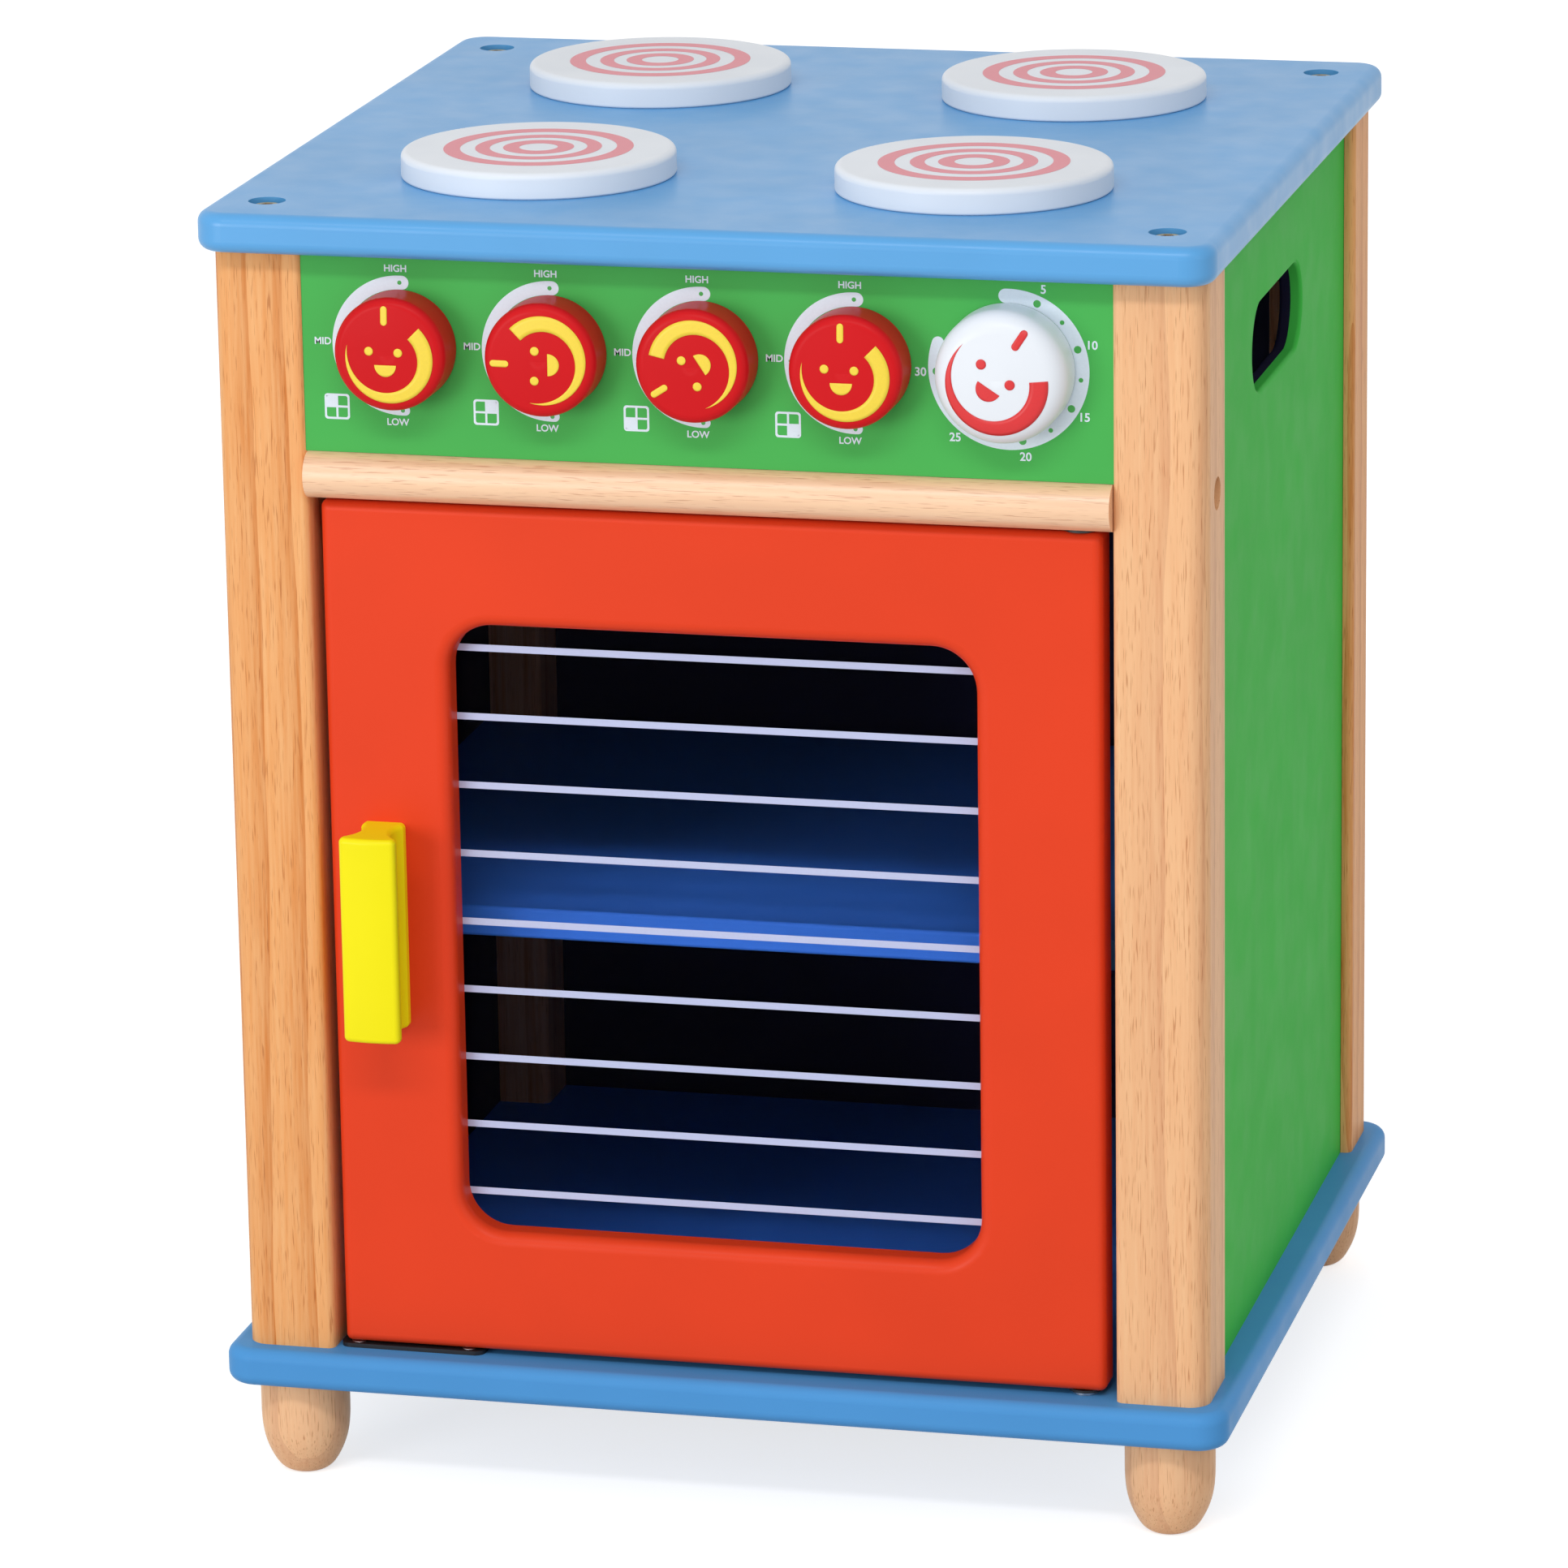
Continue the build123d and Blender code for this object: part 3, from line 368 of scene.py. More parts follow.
# %% Clear acrylic
# The tint is a faint violet cast plus painted shade: it darkens everything seen through the pane.
PANE_TINT_AND_SHADE = "#D0D1EE"
clear_acrylic, tree = new_material("clear_cast_acrylic")
place = add(tree, "ShaderNodeTexCoord").outputs["Object"]
wave = add(tree, "ShaderNodeTexNoise", None, {"Vector": place, "Scale": 1 / (60 * MM), "Detail": 1.0})
bump = add(tree, "ShaderNodeBump", None, {"Height": wave.outputs["Fac"], "Strength": 0.3,
           "Distance": 0.2 * MM})
sheet = add(tree, "ShaderNodeBsdfPrincipled", None, {"Base Color": linear(PANE_TINT_AND_SHADE), "IOR": 1.05,
            "Roughness": 0.0, "Transmission Weight": 1.0, "Normal": bump.outputs["Normal"]})
air = add(tree, "ShaderNodeBsdfTransparent", None, {"Color": linear(PANE_TINT_AND_SHADE)})
lamp_ray = add(tree, "ShaderNodeLightPath").outputs["Is Shadow Ray"]
blend = add(tree, "ShaderNodeMixShader", None, {0: lamp_ray, 1: sheet.outputs[0], 2: air.outputs[0]})
add(tree, "ShaderNodeOutputMaterial", None, {"Surface": blend.outputs[0]})
print("pane:", clear_acrylic.name, "tinted", PANE_TINT_AND_SHADE)

# %% [markdown]
# Every solid of the frame now gets its finish. Each could be given its own by name; going by how a name
# begins or ends keeps the list short. A solid that is missed stops the script, and a count ends the cell.

# %% Dress the solids
finishes = {
    "top_board": top_sheen_lacquer, "base_board": blue_lacquer, "oven_shelf": blue_lacquer,
    "side_panel": side_light_and_shade_lacquer, "control_panel": green_lacquer, "back_panel": navy_shade_lacquer,
    "front_rail": rail_wood, "hotplate": white_lacquer, "door_panel": red_lacquer,
    "door_window": clear_acrylic, "handle_screw": zinc_steel, "handle": yellow_lacquer,
    "timer_knob": white_lacquer, "knob": knob_lacquer, "top_bolt": brass_plate, "rail_bolt": brass_plate,
    "foot_stud": zinc_steel, "foot": foot_wood, "shelf_pin": zinc_steel, "hinge_pin": zinc_steel,
    "hinge_bush": nylon, "strike_plate": zinc_steel, "pole_plate": zinc_steel, "catch_magnet": ferrite,
    "catch_body": black_abs,
}


def finish_of(name):
    """A post has its own wood, a retainer is steel, and the rest goes by the first beginning that fits."""
    if name.startswith("post_"):
        return post_woods[name.removeprefix("post_")]
    if name.endswith("_retainer"):
        return zinc_steel
    return next(material for start, material in finishes.items() if name.startswith(start))


for name, node in nodes.items():
    node.data.materials.clear()
    node.data.materials.append(finish_of(name))
print("solids dressed:", len(nodes))

# %% [markdown]
# The dials, the smiling faces and the rings are printed: a soft pad or a screen lays down a film of ink a
# few hundredths of a millimetre thick, which keeps its own gloss and has a faint mottle where the pad let
# go. The film here is 0.06 mm, as a solid skin over the lacquer, so that it shows from any side and can't
# flicker.


# %% Printing ink
def printing_ink(name, hexa, roughness=0.42):
    """Pad-printed ink: a mottle of 0.8 mm in the colour and the gloss, too faint to count as a pattern."""
    material, tree = new_material(name)
    place = add(tree, "ShaderNodeTexCoord").outputs["Object"]
    mottle = add(tree, "ShaderNodeTexNoise", None, {"Vector": place, "Scale": 1 / (0.8 * MM), "Detail": 2.0})
    colour = add(tree, "ShaderNodeMix", {"data_type": "RGBA"},
                 {0: mottle.outputs["Fac"], 6: shaded(hexa, 0.95), 7: shaded(hexa, 1.04)})
    rough = add(tree, "ShaderNodeMapRange", None, {"Value": mottle.outputs["Fac"],
                "To Min": roughness - 0.06, "To Max": roughness + 0.06})
    shader = add(tree, "ShaderNodeBsdfPrincipled", None, {"Base Color": colour.outputs[2],
                 "Roughness": rough.outputs["Result"]})
    add(tree, "ShaderNodeOutputMaterial", None, {"Surface": shader.outputs[0]})
    return material


yellow_ink = printing_ink("yellow_pad_print", "#F0D23A")
red_ink = printing_ink("red_pad_print", "#D8262A")
white_ink = printing_ink("white_screen_print", "#DCE9F4")
green_ink = printing_ink("green_screen_print", "#3FA648")
pink_ink = printing_ink("pink_screen_print", "#E2828E")
lilac_ink = printing_ink("lilac_screen_print", "#BCC4E6")
print("inks:", [ink.name for ink in (yellow_ink, red_ink, white_ink, green_ink, pink_ink, lilac_ink)])

# %% [markdown]
# All the prints are drawn flat first, in millimetres, as grids of points (right, up). A band is a path
# with a half-width at each of its points. Where the half-width follows a circle down to nothing, the band
# gets a round end, so bars, dial arcs and the face's crescent all come from the same few lines. The film
# is FILM thick and floats by LIFT, both in millimetres, so that it never shares a plane with the lacquer.


# %% Bands of ink
FILM, LIFT = 0.06, 0.02


def band(path, half, across=4):
    """At each point of the path, points from one side to the other, as far as half along the normal."""
    ahead = np.gradient(path, axis=0)
    ahead /= np.linalg.norm(ahead, axis=1, keepdims=True)
    side = np.stack([-ahead[:, 1], ahead[:, 0]], axis=1)
    reach = half[:, None] * np.linspace(-1, 1, across + 1)
    return path[:, None] + side[:, None] * reach[..., None]


def round_end(tip, inner, half, steps=8):
    """Half a disc beyond tip, away from inner: points further out, where the half-width follows a circle."""
    angle = np.linspace(0, np.pi / 2, steps + 1)[:-1]
    outwards = (tip - inner) / np.linalg.norm(tip - inner)
    return tip + outwards * (half * np.cos(angle))[:, None], half * np.sin(angle)


def arc(center, radius, start, end, width, ends="both", steps=72):
    """A band whose outer edge follows a circle from start to end degrees. Its width is width(t), for t from
    0 to 1 along it, and it has round ends at both ends, one or none."""
    t = np.linspace(0, 1, steps + 1)
    half = width(t) / 2
    angle = np.radians(start + (end - start) * t)
    path = center + (radius - half)[:, None] * np.stack([np.cos(angle), np.sin(angle)], axis=1)
    if ends in ("both", "start"):
        cap, cap_half = round_end(path[0], path[1], half[0])
        path, half = np.concatenate([cap, path]), np.concatenate([cap_half, half])
    if ends in ("both", "end"):
        cap, cap_half = round_end(path[-1], path[-2], half[-1])
        path, half = np.concatenate([path, cap[::-1]]), np.concatenate([half, cap_half[::-1]])
    return band(path, half)


def bar(start, end, width, steps=6):
    """A straight band with round ends, from start to end."""
    start, end = np.array(start), np.array(end)
    path = start + (end - start) * np.linspace(0, 1, steps + 1)[:, None]
    half = np.full(steps + 1, width / 2)
    first, first_half = round_end(path[0], path[1], width / 2)
    last, last_half = round_end(path[-1], path[-2], width / 2)
    half = np.concatenate([first_half, half, last_half[::-1]])
    return band(np.concatenate([first, path, last[::-1]]), half)


print("a bar of 10 by 2 mm is a grid of", bar((0, 0), (8, 0), 2).shape[:2], "points")

# %% [markdown]
# The other shapes are discs and rings for dots and coils, rectangles for straight lines, half an ellipse for
# a smiling mouth, and the outline of a square with round corners. They could be curves that Blender fills;
# as grids they join the bands in one mesh.


# %% Discs, rectangles and smiles
def disc(center, outer, inner=0.0, rings=3, around=48):
    """Rings from the inner to the outer radius, each a closed circle of points; a full disc has inner 0."""
    radius = np.linspace(inner, outer, rings + 1)[:, None, None]
    angle = np.linspace(0, 2 * np.pi, around + 1)
    return center + radius * np.stack([np.cos(angle), np.sin(angle)], axis=1)


def patch(left, right, low, high, steps=1):
    """A rectangle as a small grid."""
    across, up = np.linspace(left, right, steps + 1), np.linspace(low, high, steps + 1)
    return np.stack(np.meshgrid(across, up, indexing="ij"), axis=-1)


def smile(center, radius, depth, steps=32, layers=6):
    """Half an ellipse that hangs from a straight top: each column goes from the curve up to the top."""
    angle = np.linspace(-np.pi, 0, steps + 1)
    across = np.repeat(radius * np.cos(angle)[:, None], layers + 1, axis=1)
    up = depth * np.sin(angle)[:, None] * np.linspace(1, 0, layers + 1)
    return center + np.stack([across, up], axis=-1)


def rounded_square(half, corner, steps=8):
    """A closed outline, anticlockwise: a quarter circle about each corner's centre, one after another."""
    quarter = np.linspace(0, np.pi / 2, steps + 1)
    turns = np.arange(4) * np.pi / 2
    angle = (turns[:, None] + quarter).ravel()
    middle = (half - corner) * math.sqrt(2)
    middles = np.repeat(turns + np.pi / 4, steps + 1)
    points = corner * np.stack([np.cos(angle), np.sin(angle)], axis=1)
    points += middle * np.stack([np.cos(middles), np.sin(middles)], axis=1)
    return np.concatenate([points, points[:1]])


print("a disc is a grid of", disc((0, 0), 1.0).shape[:2], "points")

# %% [markdown]
# A flat print gets its place on the oven last. It is turned about its own middle if need be, and then laid
# on a plane that is given by an origin and by where right and up point.


# %% Flat prints onto a plane
def turned(grid, clockwise):
    """A flat grid turned clockwise by so many degrees."""
    angle = math.radians(clockwise)
    turn = np.array([[math.cos(angle), -math.sin(angle)], [math.sin(angle), math.cos(angle)]])
    return grid @ turn


def laid_flat(grid, origin, right, up, lift):
    """Flat millimetres on a plane of the oven: origin + right * x + up * y, and lift along right x up."""
    right, up = np.array(right), np.array(up)
    return origin + MM * (grid[..., :1] * right + grid[..., 1:] * up + lift * np.cross(right, up))


RIGHT, LEFT, BACK, UP = (1, 0, 0), (-1, 0, 0), (0, 1, 0), (0, 0, 1)
print("1 mm up on the front is", laid_flat(np.array([0, 1]), (0, 0, 0), RIGHT, UP, 0).tolist(), "m")

# %% [markdown]
# Numbers and words start as text objects. Each is turned into a mesh while it still lies flat at the origin,
# scaled to its real height, centred on its place and laid on the panel like any other print.


# %% Letters and numbers
def lettering(text, height, center, weight=0.02):
    """The points, in flat millimetres, and the faces of a word whose letters are height tall."""
    curve = bpy.data.curves.new("letters", "FONT")
    curve.body = text
    curve.offset = weight
    curve.resolution_u = 6
    holder = bpy.data.objects.new("letters", curve)
    bpy.context.scene.collection.objects.link(holder)
    graph = bpy.context.evaluated_depsgraph_get()
    mesh = bpy.data.meshes.new_from_object(holder.evaluated_get(graph))
    points = np.empty(len(mesh.vertices) * 3)
    mesh.vertices.foreach_get("co", points)
    points = points.reshape(-1, 3)[:, :2]
    faces = [tuple(polygon.vertices) for polygon in mesh.polygons]
    bpy.data.objects.remove(holder)
    bpy.data.curves.remove(curve)
    bpy.data.meshes.remove(mesh)
    low, high = points.min(axis=0), points.max(axis=0)
    return (points - (low + high) / 2) * (height / (high[1] - low[1])) + center, faces


def printed_words(name, words, place, body, material):
    """One piece out of several words; place turns flat millimetres into points on the oven."""
    points, faces, first = [], [], 0
    for text, height, center in words:
        flat, word_faces = lettering(text, height, center)
        points.append(place(flat))
        faces += [tuple(first + corner for corner in face) for face in word_faces]
        first += len(flat)
    mesh = bpy.data.meshes.new(name)
    mesh.from_pydata(np.concatenate(points).tolist(), [], faces)
    return finish_piece(name, mesh, body, material, FILM * MM, smooth=False)


print("the numeral 5 has", len(lettering("5", 1.0, (0, 0))[0]), "points")

# %% [markdown]
# Five dials are printed on the panel, each about its knob's axis, which is the middle of the knob's box. A
# dial is three prints: white lines, green dots and white words. The dots lie on the white film, so they are
# raised by its thickness.

# %% Dials about the knobs
panel_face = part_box("control_panel")[0][1]
knob_names = [f"knob_{number}" for number in range(1, 5)]
axes = {}
for name in (*knob_names, "timer_knob"):
    low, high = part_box(name)
    axes[name] = ((low[0] + high[0]) / 2, (low[2] + high[2]) / 2)


def on_panel(name, lift=LIFT):
    """A function that lays flat millimetres about a knob's axis on the front of the control panel."""
    x, z = axes[name]
    return lambda grid: laid_flat(grid, (x, panel_face, z), RIGHT, UP, lift)


def print_dial(names, knob, lines, dots, words):
    """Three prints about a knob's axis: white lines, green dots on top of them, and white words."""
    place, raised = on_panel(knob), on_panel(knob, FILM + LIFT)
    dial = piece(names[0], [place(grid) for grid in lines], "cabinet", white_ink, FILM * MM, smooth=False)
    marks = piece(names[1], [raised(grid) for grid in dots], "cabinet", green_ink, FILM * MM, smooth=False)
    text = printed_words(names[2], words, place, "cabinet", white_ink)


print("axes at x =", [round(x / MM, 1) for x, z in axes.values()], "mm")

# %% [markdown]
# A burner's dial is a tapering arc on the left with three green dots, the words HIGH, MID and LOW, and a
# little square of four with one cell filled, which shows the hotplate that the knob is for.

# %% Burner dials
dial_radius, dial_start, dial_end, dial_widths = 26.5, 88, 272, (5.3, 3.8)
large_dot, small_dot = 0.8, 0.6
word_height = 2.7
word_places = {"HIGH": (-1.5, 29.2), "MID": (-30.2, 0.8), "LOW": (-1.9, -29.0)}
icon_center, icon_half, icon_line, icon_corner = np.array([-25.4, -24.0]), 4.85, 0.8, 1.2
cells = {"knob_1": (-1, 1), "knob_2": (1, 1), "knob_3": (-1, -1), "knob_4": (1, -1)}


def dial_width(t):
    """The arc's width: it goes evenly from the first of dial_widths to the second."""
    return dial_widths[0] + (dial_widths[1] - dial_widths[0]) * t


def hob_symbol(side, up):
    """Four squares in a frame with round corners. The one at side and up, each 1 or -1, is filled."""
    inner, line = icon_half - icon_line, icon_line / 2
    border = np.stack([rounded_square(inner, icon_corner - line), rounded_square(icon_half, icon_corner)])
    filled = patch(*sorted((side * line, side * inner)), *sorted((up * line, up * inner)))
    grids = [border, patch(-inner, inner, -line, line), patch(-line, line, line, inner),
             patch(-line, line, -inner, -line), filled]
    return [icon_center + grid for grid in grids]


sweep = arc((0, 0), dial_radius, dial_start, dial_end, dial_width)
middle = dial_radius - np.array(dial_widths) / 2
dots = [disc((0, middle[0]), large_dot), disc((-middle.mean(), 0), small_dot),
        disc((0, -middle[1]), large_dot)]
words = [(word, word_height, center) for word, center in word_places.items()]
for name in knob_names:
    print_dial((f"dial_{name}", f"dial_dots_{name}", f"dial_words_{name}"), name,
               [sweep, *hob_symbol(*cells[name])], dots, words)
print("burner dials:", len(knob_names), "with the words", list(word_places))

# %% [markdown]
# The timer's ring runs nearly all the way round, from a thick round end at the top to a thin one at the
# left, with a large dot for every five minutes and a small one halfway, and the numbers 5 to 30 outside it.

# %% Timer ring
ring_outer, ring_start, ring_end = 30.0, 92, -199
ring_width, ring_loss = 5.3, 0.8
first_angle, angle_step = 66.6, 48.6
dots_at, five_minute_dot, halfway_dot = 27.0, 1.4, 0.85
numbers_at, number_height = 32.9, 3.3
minutes = np.arange(5, 31, 5)
angles = np.radians(first_angle - angle_step * (minutes / 5 - 1))
between = (angles[:-1] + angles[1:]) / 2


def polar(radius, angle):
    """The point at a radius and an angle from the axis."""
    return radius * math.cos(angle), radius * math.sin(angle)


sweep = arc((0, 0), ring_outer, ring_start, ring_end, lambda t: ring_width - ring_loss * t**3, steps=144)
dots = [disc(polar(dots_at, angle), five_minute_dot) for angle in angles]
dots += [disc(polar(dots_at, angle), halfway_dot) for angle in between]
words = [(str(minute), number_height, polar(numbers_at, angle)) for minute, angle in zip(minutes, angles)]
print_dial(("timer_ring", "timer_dots", "timer_numbers"), "timer_knob", [sweep], dots, words)
print("timer marks:", len(dots), "numbers:", len(words))

# %% [markdown]
# A knob's front is a shallow dome with a rounded edge, and a pad print follows it. The dome could be taken
# for part of a sphere; reading the ink's height at each radius off the knob's own points is exact.

# %% Prints on a dome
profile_step = 0.05


def front_profile(name):
    """Radius and depth of a knob's front half, from its mesh: the front-most point at each radius."""
    mesh = nodes[name].data
    points = np.empty(len(mesh.vertices) * 3)
    mesh.vertices.foreach_get("co", points)
    points = points.reshape(-1, 3)
    x, z = axes[name]
    radius = np.hypot(points[:, 0] - x, points[:, 2] - z)
    front = points[:, 1] < (points[:, 1].min() + panel_face) / 2
    steps = np.round(radius[front] / (profile_step * MM)).astype(int)
    order = np.lexsort((points[front, 1], steps))
    steps, first = np.unique(steps[order], return_index=True)
    return steps * profile_step * MM, points[front, 1][order][first]


def on_knob(name, clockwise, scale=1.0, lift=0.1):
    """A function that turns and scales flat millimetres and lays them on a knob's domed front."""
    x, z = axes[name]
    radii, depths = front_profile(name)

    def place(grid):
        flat = turned(grid * scale, clockwise) * MM
        depth = np.interp(np.hypot(flat[..., 0], flat[..., 1]), radii, depths) - lift * MM
        return np.stack([x + flat[..., 0], depth, z + flat[..., 1]], axis=-1)

    return place


print("knob 1 reaches", round(front_profile("knob_1")[0][-1] / MM, 1), "mm from its axis")

# %% [markdown]
# The face on each knob is two eyes, a smile and a crescent that thins out from a blunt end to a point, with
# a short bar above it that points to the dial. It is drawn upright, and turned as far as its knob is turned.

# %% Faces on the knobs
pointer_ends, pointer_width = ((-1.2, 12.65), (-1.2, 17.35)), 2.5
crescent_center, crescent_radius, crescent_width, crescent_end = (0.4, -1.2), 16.7, 6.0, -197
blunt_end, timer_blunt_end = 46, 39
eyes, eye_radius = ((-7.2, 1.6), (4.0, 1.3)), 1.65
mouth_center, mouth_half, mouth_depth = (-1.0, -3.5), 4.15, 4.4
timer_scale = 1.145


def face_print(start):
    """The flat face: pointer, crescent, eyes and mouth. The crescent's blunt end is at start degrees, and
    its width falls from there by t to the power of 1.9."""
    crescent = arc(crescent_center, crescent_radius, start, crescent_end,
                   lambda t: crescent_width * (1 - t**1.9), ends="none", steps=120)
    return [bar(*pointer_ends, pointer_width), crescent, *[disc(eye, eye_radius, around=32) for eye in eyes],
            smile(mouth_center, mouth_half, mouth_depth)]


knob_turns = {"knob_1": 0, "knob_2": 270, "knob_3": 237, "knob_4": 0, "timer_knob": 33}
for name, clockwise in knob_turns.items():
    timer = name == "timer_knob"
    place = on_knob(name, clockwise, timer_scale if timer else 1.0)
    grids = [place(grid) for grid in face_print(timer_blunt_end if timer else blunt_end)]
    body = "timer" if timer else name.replace("knob", "burner")
    face = piece(f"face_{name}", grids, body, red_ink if timer else yellow_ink, FILM * MM)
print("faces:", len(knob_turns))

# %% [markdown]
# Three pink rings on each hotplate stand for the hot coil, and the window carries nine pale lines that stand
# for the wires of an oven rack. Both are screen printed on flat surfaces.

# %% Hotplate rings and window lines
coil_rings = ((35.9, 29.6), (23.9, 18.4), (13.4, 7.3))
for corner in post_woods:
    low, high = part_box(f"hotplate_{corner}")
    middle = ((low[0] + high[0]) / 2, (low[1] + high[1]) / 2, high[2])
    grids = [laid_flat(disc((0, 0), outer, inner, 2, 96), middle, RIGHT, BACK, LIFT)
             for outer, inner in coil_rings]
    piece(f"coil_rings_{corner}", grids, "cabinet", pink_ink, FILM * MM, smooth=False)

pane_low, pane_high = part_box("door_window")
pane_middle = ((pane_low[0] + pane_high[0]) / 2, pane_low[1], 0)
line_count, line_spacing, top_line = 9, 26.81, 332.4
line_width, line_half = 2.7, 105
lines = [patch(-line_half, line_half, z - line_width / 2, z + line_width / 2)
         for z in top_line - line_spacing * np.arange(line_count)]
rack_lines = piece("window_lines", [laid_flat(grid, pane_middle, RIGHT, UP, LIFT) for grid in lines], "door",
                   lilac_ink, FILM * MM, smooth=False)
print("rings on", len(post_woods), "hotplates,", line_count, "lines on the window")

# %% [markdown]
# The last pieces are the small screws. A head could be turned and its cross cut out of it; as a disc whose
# height is a formula it needs no cut: a flat top that rolls off at the rim, less a cross for the driver.


# %% Screw heads
def screw_head(center, right, up, radius, height, recess, rings=28, around=96):
    """A polar grid: height * sqrt(1 - (r/R)^6), less recess inside a cross. The cross has arms of 0.13 by
    0.58 of the radius with soft sides, 1 / (1 + e^x), where x grows by 30 over one radius."""
    radii = radius * np.sin(np.linspace(0, np.pi / 2, rings + 1))[:, None]
    angle = np.linspace(0, 2 * np.pi, around + 1)
    x, y = radii * np.cos(angle), radii * np.sin(angle)
    dome = height * np.sqrt(np.clip(1 - (radii / radius) ** 6, 0, 1))

    def inside(value, limit):
        """Near 1 where the value is within the limit, and near 0 beyond it."""
        return 1 / (1 + np.exp((np.abs(value) - limit) * 30 / radius))

    arm_half, arm_reach = radius * 0.13, radius * 0.58
    upright = inside(x, arm_half) * inside(y, arm_reach)
    crosswise = inside(y, arm_half) * inside(x, arm_reach)
    level = dome - recess * np.maximum(upright, crosswise)
    right, up = np.array(right), np.array(up)
    return center + MM * (x[..., None] * right + y[..., None] * up + level[..., None] * np.cross(right, up))


print("a screw head is a grid of", screw_head((0, 0, 0), RIGHT, UP, 2, 0.5, 0.3).shape[:2], "points")

# %% [markdown]
# Two screws hold the catch to the base, two the strike plate to the door, and six with wide flat heads hold
# the window in its rabbet. Their places follow from the boxes of the solids that they hold.

# %% Small screws
# All in millimetres. A head is its radius, its height and the depth of its cross.
screw_wall = 0.15
catch_head, strike_head, pane_head = (2.9, 0.3, 0.22), (1.85, 0.3, 0.5), (3.6, 1.4, 0.9)
catch_setback, catch_flange, catch_half_spacing = 4.5, 1.7, 22
strike_sink, strike_half_spacing = 0.35, 12
pane_outset, pane_half_spacing = 2.2, 70


def two_places(middle, half_spacing):
    """A place to the left of the middle and one to the right, each half_spacing millimetres away."""
    return [(middle[0] + side * half_spacing * MM, *middle[1:]) for side in (-1, 1)]


catch_low, catch_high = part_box("catch_body")
catch_middle = ((catch_low[0] + catch_high[0]) / 2, catch_low[1] + catch_setback * MM,
                catch_low[2] + catch_flange * MM)
strike_low, strike_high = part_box("strike_plate")
strike_middle = ((strike_low[0] + strike_high[0]) / 2, strike_high[1] - strike_sink * MM,
                 (strike_low[2] + strike_high[2]) / 2)
door_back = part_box("door_panel")[1][1]
window_middle = (pane_low + pane_high) / 2
pane_half = (pane_high - pane_low) / 2
pane_places = [(window_middle[0] + side * (pane_half[0] + pane_outset * MM),
                window_middle[2] + up * pane_half_spacing * MM) for side in (-1, 1) for up in (-1, 1)]
pane_places += [(window_middle[0], window_middle[2] + up * (pane_half[2] + pane_outset * MM))
                for up in (-1, 1)]

catch_screws = [screw_head(place, RIGHT, BACK, *catch_head)
                for place in two_places(catch_middle, catch_half_spacing)]
strike_screws = [screw_head(place, LEFT, UP, *strike_head)
                 for place in two_places(strike_middle, strike_half_spacing)]
pane_screws = [screw_head((x, door_back, z), LEFT, UP, *pane_head) for x, z in pane_places]
screw_sets = (("catch_screws", catch_screws, "cabinet"), ("strike_screws", strike_screws, "door"),
              ("pane_screws", pane_screws, "door"))
for name, heads, body in screw_sets:
    piece(name, heads, body, zinc_steel, screw_wall * MM, offset=-1.0)
print("screws:", len(catch_screws) + len(strike_screws) + len(pane_screws))

# %% [markdown]
# The studio could be modelled as walls and a bent sheet of paper; a flat floor and a plain white surround
# need less and give the same soft light. The floor keeps the oven's shadow and adds a glow of its own to
# what is seen directly, and the surround looks white but lights the oven at 0.6 of that.

# %% Floor and surround
scene = bpy.context.scene
scene.view_settings.view_transform = "Standard"
floor_reach, floor_glow, surround_share = 12.0, 0.7, 0.6


def seen_directly(tree):
    """1 for a ray from the camera, a mirror or a pane, before any bounce off a matt surface; else 0."""
    path = add(tree, "ShaderNodeLightPath")
    seen = add(tree, "ShaderNodeMath", {"operation": "MAXIMUM"},
               {0: path.outputs["Is Camera Ray"], 1: path.outputs["Is Glossy Ray"]})
    seen = add(tree, "ShaderNodeMath", {"operation": "MAXIMUM"},
               {0: seen.outputs[0], 1: path.outputs["Is Transmission Ray"]})
    early = add(tree, "ShaderNodeMath", {"operation": "LESS_THAN"},
                {0: path.outputs["Diffuse Depth"], 1: 0.5})
    return add(tree, "ShaderNodeMath", {"operation": "MULTIPLY"}, {0: seen.outputs[0], 1: early.outputs[0]})


floor_mesh = bpy.data.meshes.new("floor")
corners = [(x * floor_reach, y * floor_reach, 0) for x, y in ((-1, -1), (1, -1), (1, 1), (-1, 1))]
floor_mesh.from_pydata(corners, [], [(0, 1, 2, 3)])
floor = bpy.data.objects.new("floor", floor_mesh)
scene.collection.objects.link(floor)
floor_paint, tree = new_material("white_studio_floor")
matt = add(tree, "ShaderNodeBsdfDiffuse", None, {"Color": linear("#D2D2D2")})
level = add(tree, "ShaderNodeMath", {"operation": "MULTIPLY"},
            {0: seen_directly(tree).outputs[0], 1: floor_glow})
glow = add(tree, "ShaderNodeEmission", None, {"Color": (1, 1, 1, 1), "Strength": level.outputs[0]})
both = add(tree, "ShaderNodeAddShader", None, {0: matt.outputs[0], 1: glow.outputs[0]})
add(tree, "ShaderNodeOutputMaterial", None, {"Surface": both.outputs[0]})
floor_mesh.materials.append(floor_paint)
floor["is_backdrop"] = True

world = bpy.data.worlds.new("studio")
scene.world = world
world.use_nodes = True
tree = world.node_tree
tree.nodes.clear()
level = add(tree, "ShaderNodeMapRange", None, {"Value": seen_directly(tree).outputs[0],
            "To Min": surround_share, "To Max": 1.0})
sky = add(tree, "ShaderNodeBackground", None, {"Color": (1, 1, 1, 1), "Strength": level.outputs[0]})
add(tree, "ShaderNodeOutputWorld", None, {"Surface": sky.outputs[0]})


print("floor:", 2 * floor_reach, "m wide, glowing at", floor_glow, "in a surround named", world.name)

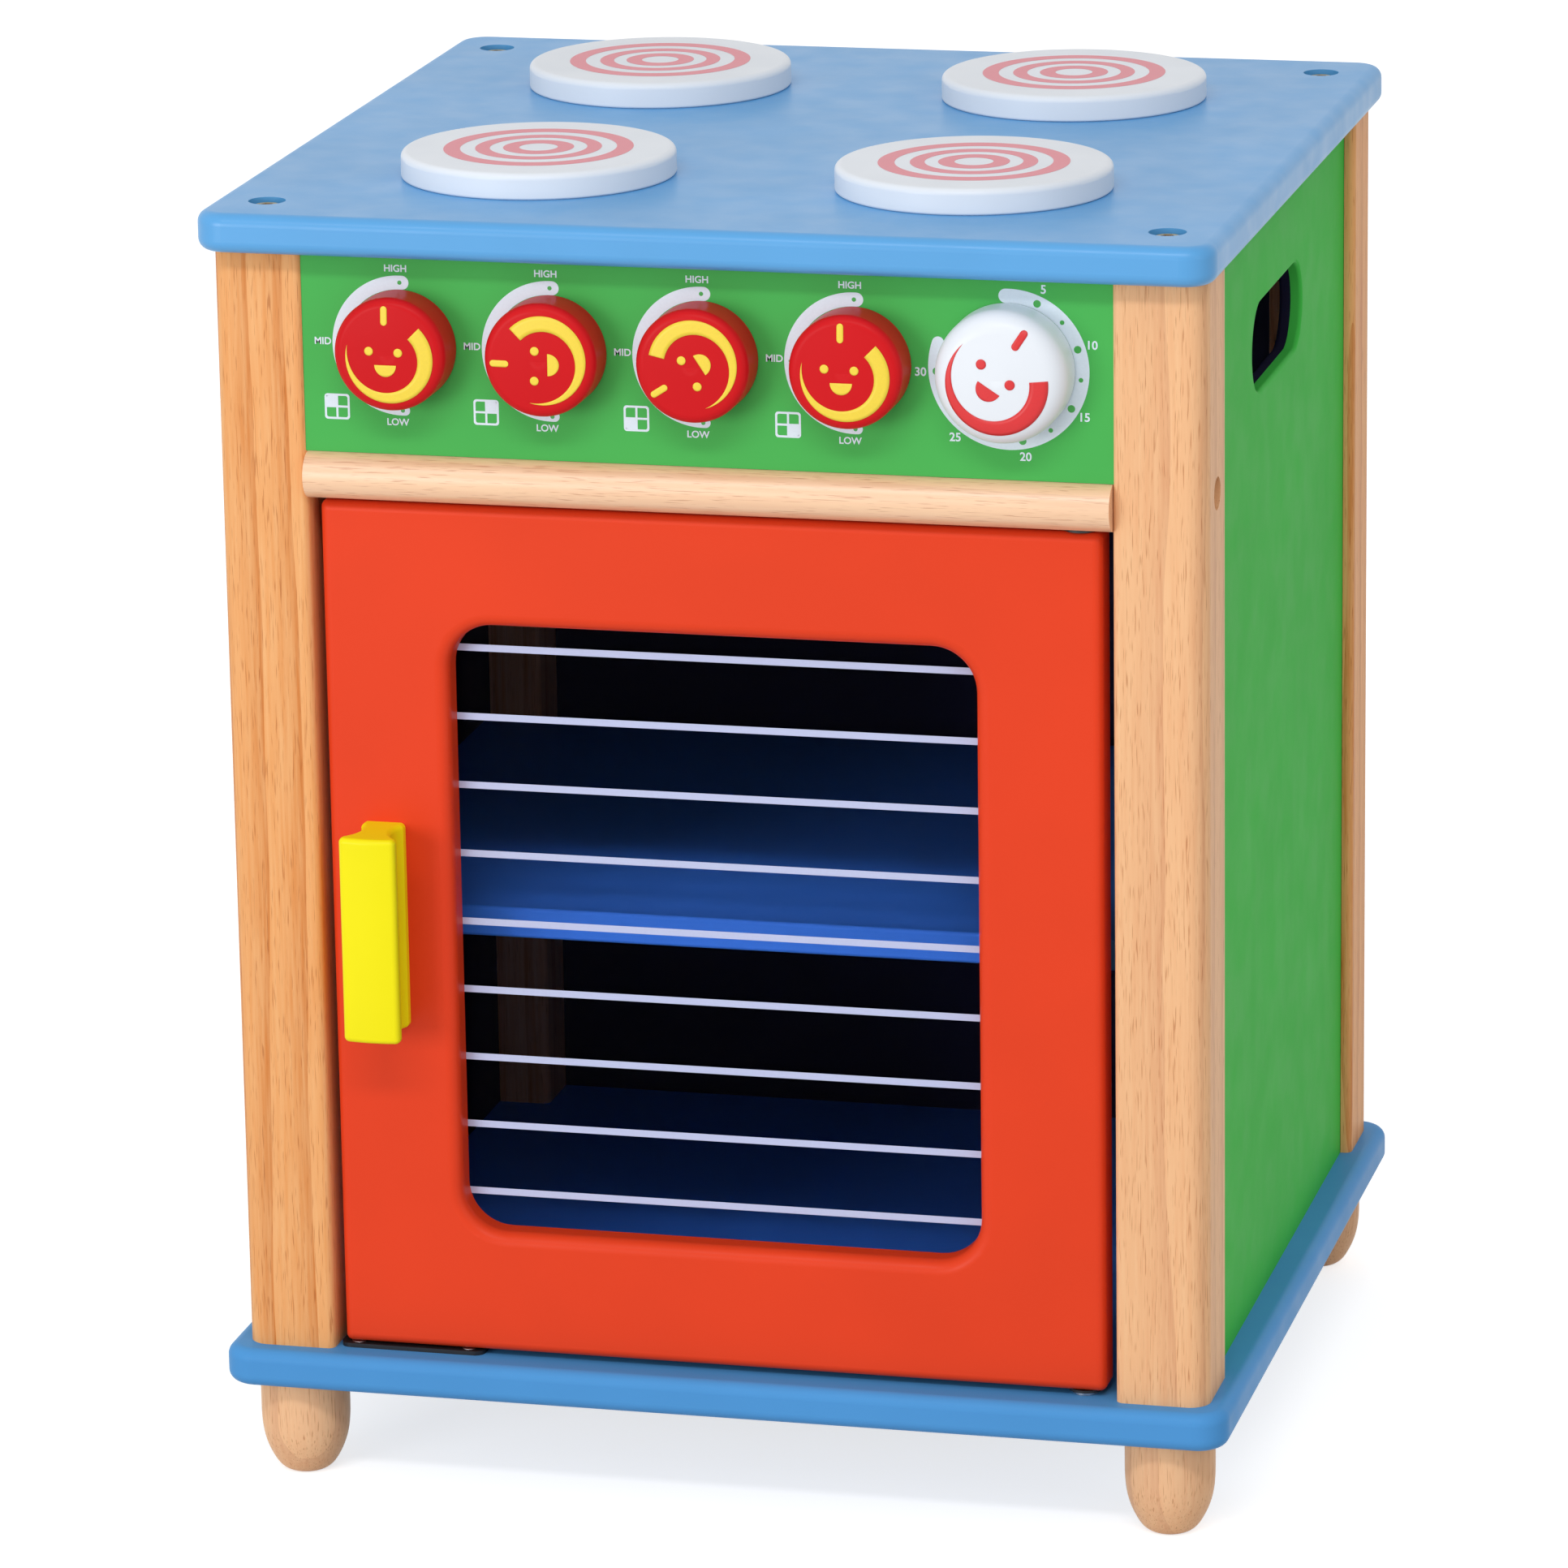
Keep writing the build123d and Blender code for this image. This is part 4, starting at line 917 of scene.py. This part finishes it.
# %% [markdown]
# A broad lamp stands low at the front left and gives the form its shade, a long strip above draws a line of
# light on the rail, and a weak lamp fills in from the right.


# %% Lamps
def lamp(name, place, aim, width, height, power):
    """A rectangular area lamp at place, turned towards aim, with its size in metres and power in watts."""
    data = bpy.data.lights.new(name, "AREA")
    data.shape = "RECTANGLE"
    data.size, data.size_y = width, height
    data.energy = power
    made = bpy.data.objects.new(name, data)
    made.location = place
    made.rotation_mode = "QUATERNION"
    made.rotation_quaternion = (Vector(aim) - Vector(place)).to_track_quat("-Z", "Y")
    scene.collection.objects.link(made)


lamp("key", (-1.6, -2.8, 0.7), (0, 0, 0.25), 1.4, 1.0, 29)
lamp("strip", (0.1, -2.1, 2.3), (0, 0, 0.3), 2.0, 0.3, 22)
lamp("fill", (2.4, -1.6, 1.0), (0, 0, 0.25), 1.4, 1.4, 4)
print("lamps:", {light.name: light.energy for light in bpy.data.lights if light.type == "AREA"})

# %% [markdown]
# The camera stands 3.2 metres away with a long lens and looks down at the oven, a little from the right. Its
# direction is two angles and a slight roll, in radians, and its place follows from the point it looks at and
# the distance. The lens is told by its focal length in pixels of the picture, which the sensor's width turns
# into millimetres.

# %% Camera
yaw, pitch, roll = 0.244171, 0.272283, -0.015344
target, distance = Vector((-0.01517, 0.006, 0.239377)), 3.199811
focal_pixels, picture_pixels, sensor_width = 10000, 1932, 36
forward = Vector((-math.sin(yaw) * math.cos(pitch), math.cos(yaw) * math.cos(pitch), -math.sin(pitch)))
level_right = Vector((math.cos(yaw), math.sin(yaw), 0))
level_up = level_right.cross(forward)
right = math.cos(roll) * level_right + math.sin(roll) * level_up
up = math.cos(roll) * level_up - math.sin(roll) * level_right
camera_data = bpy.data.cameras.new("camera")
camera_data.sensor_width = sensor_width
camera_data.lens = focal_pixels / picture_pixels * sensor_width
camera_data.clip_end = 50
camera = bpy.data.objects.new("camera", camera_data)
stand = Matrix((right, up, -forward)).transposed().to_4x4()
stand.translation = target - distance * forward
camera.matrix_world = stand
scene.collection.objects.link(camera)
scene.camera = camera
print("lens in mm:", round(camera_data.lens, 1), "at", [round(v, 3) for v in stand.translation])

# %% [markdown]
# Last, the box of the dressed oven is measured and printed. The rings on the hotplates stand 0.08 mm
# proud, so it is that much taller than the box of the bare solids.

# %% Sizes and finish
low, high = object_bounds()
print("visual box in mm:", [round(v / MM, 1) for v in high - low])
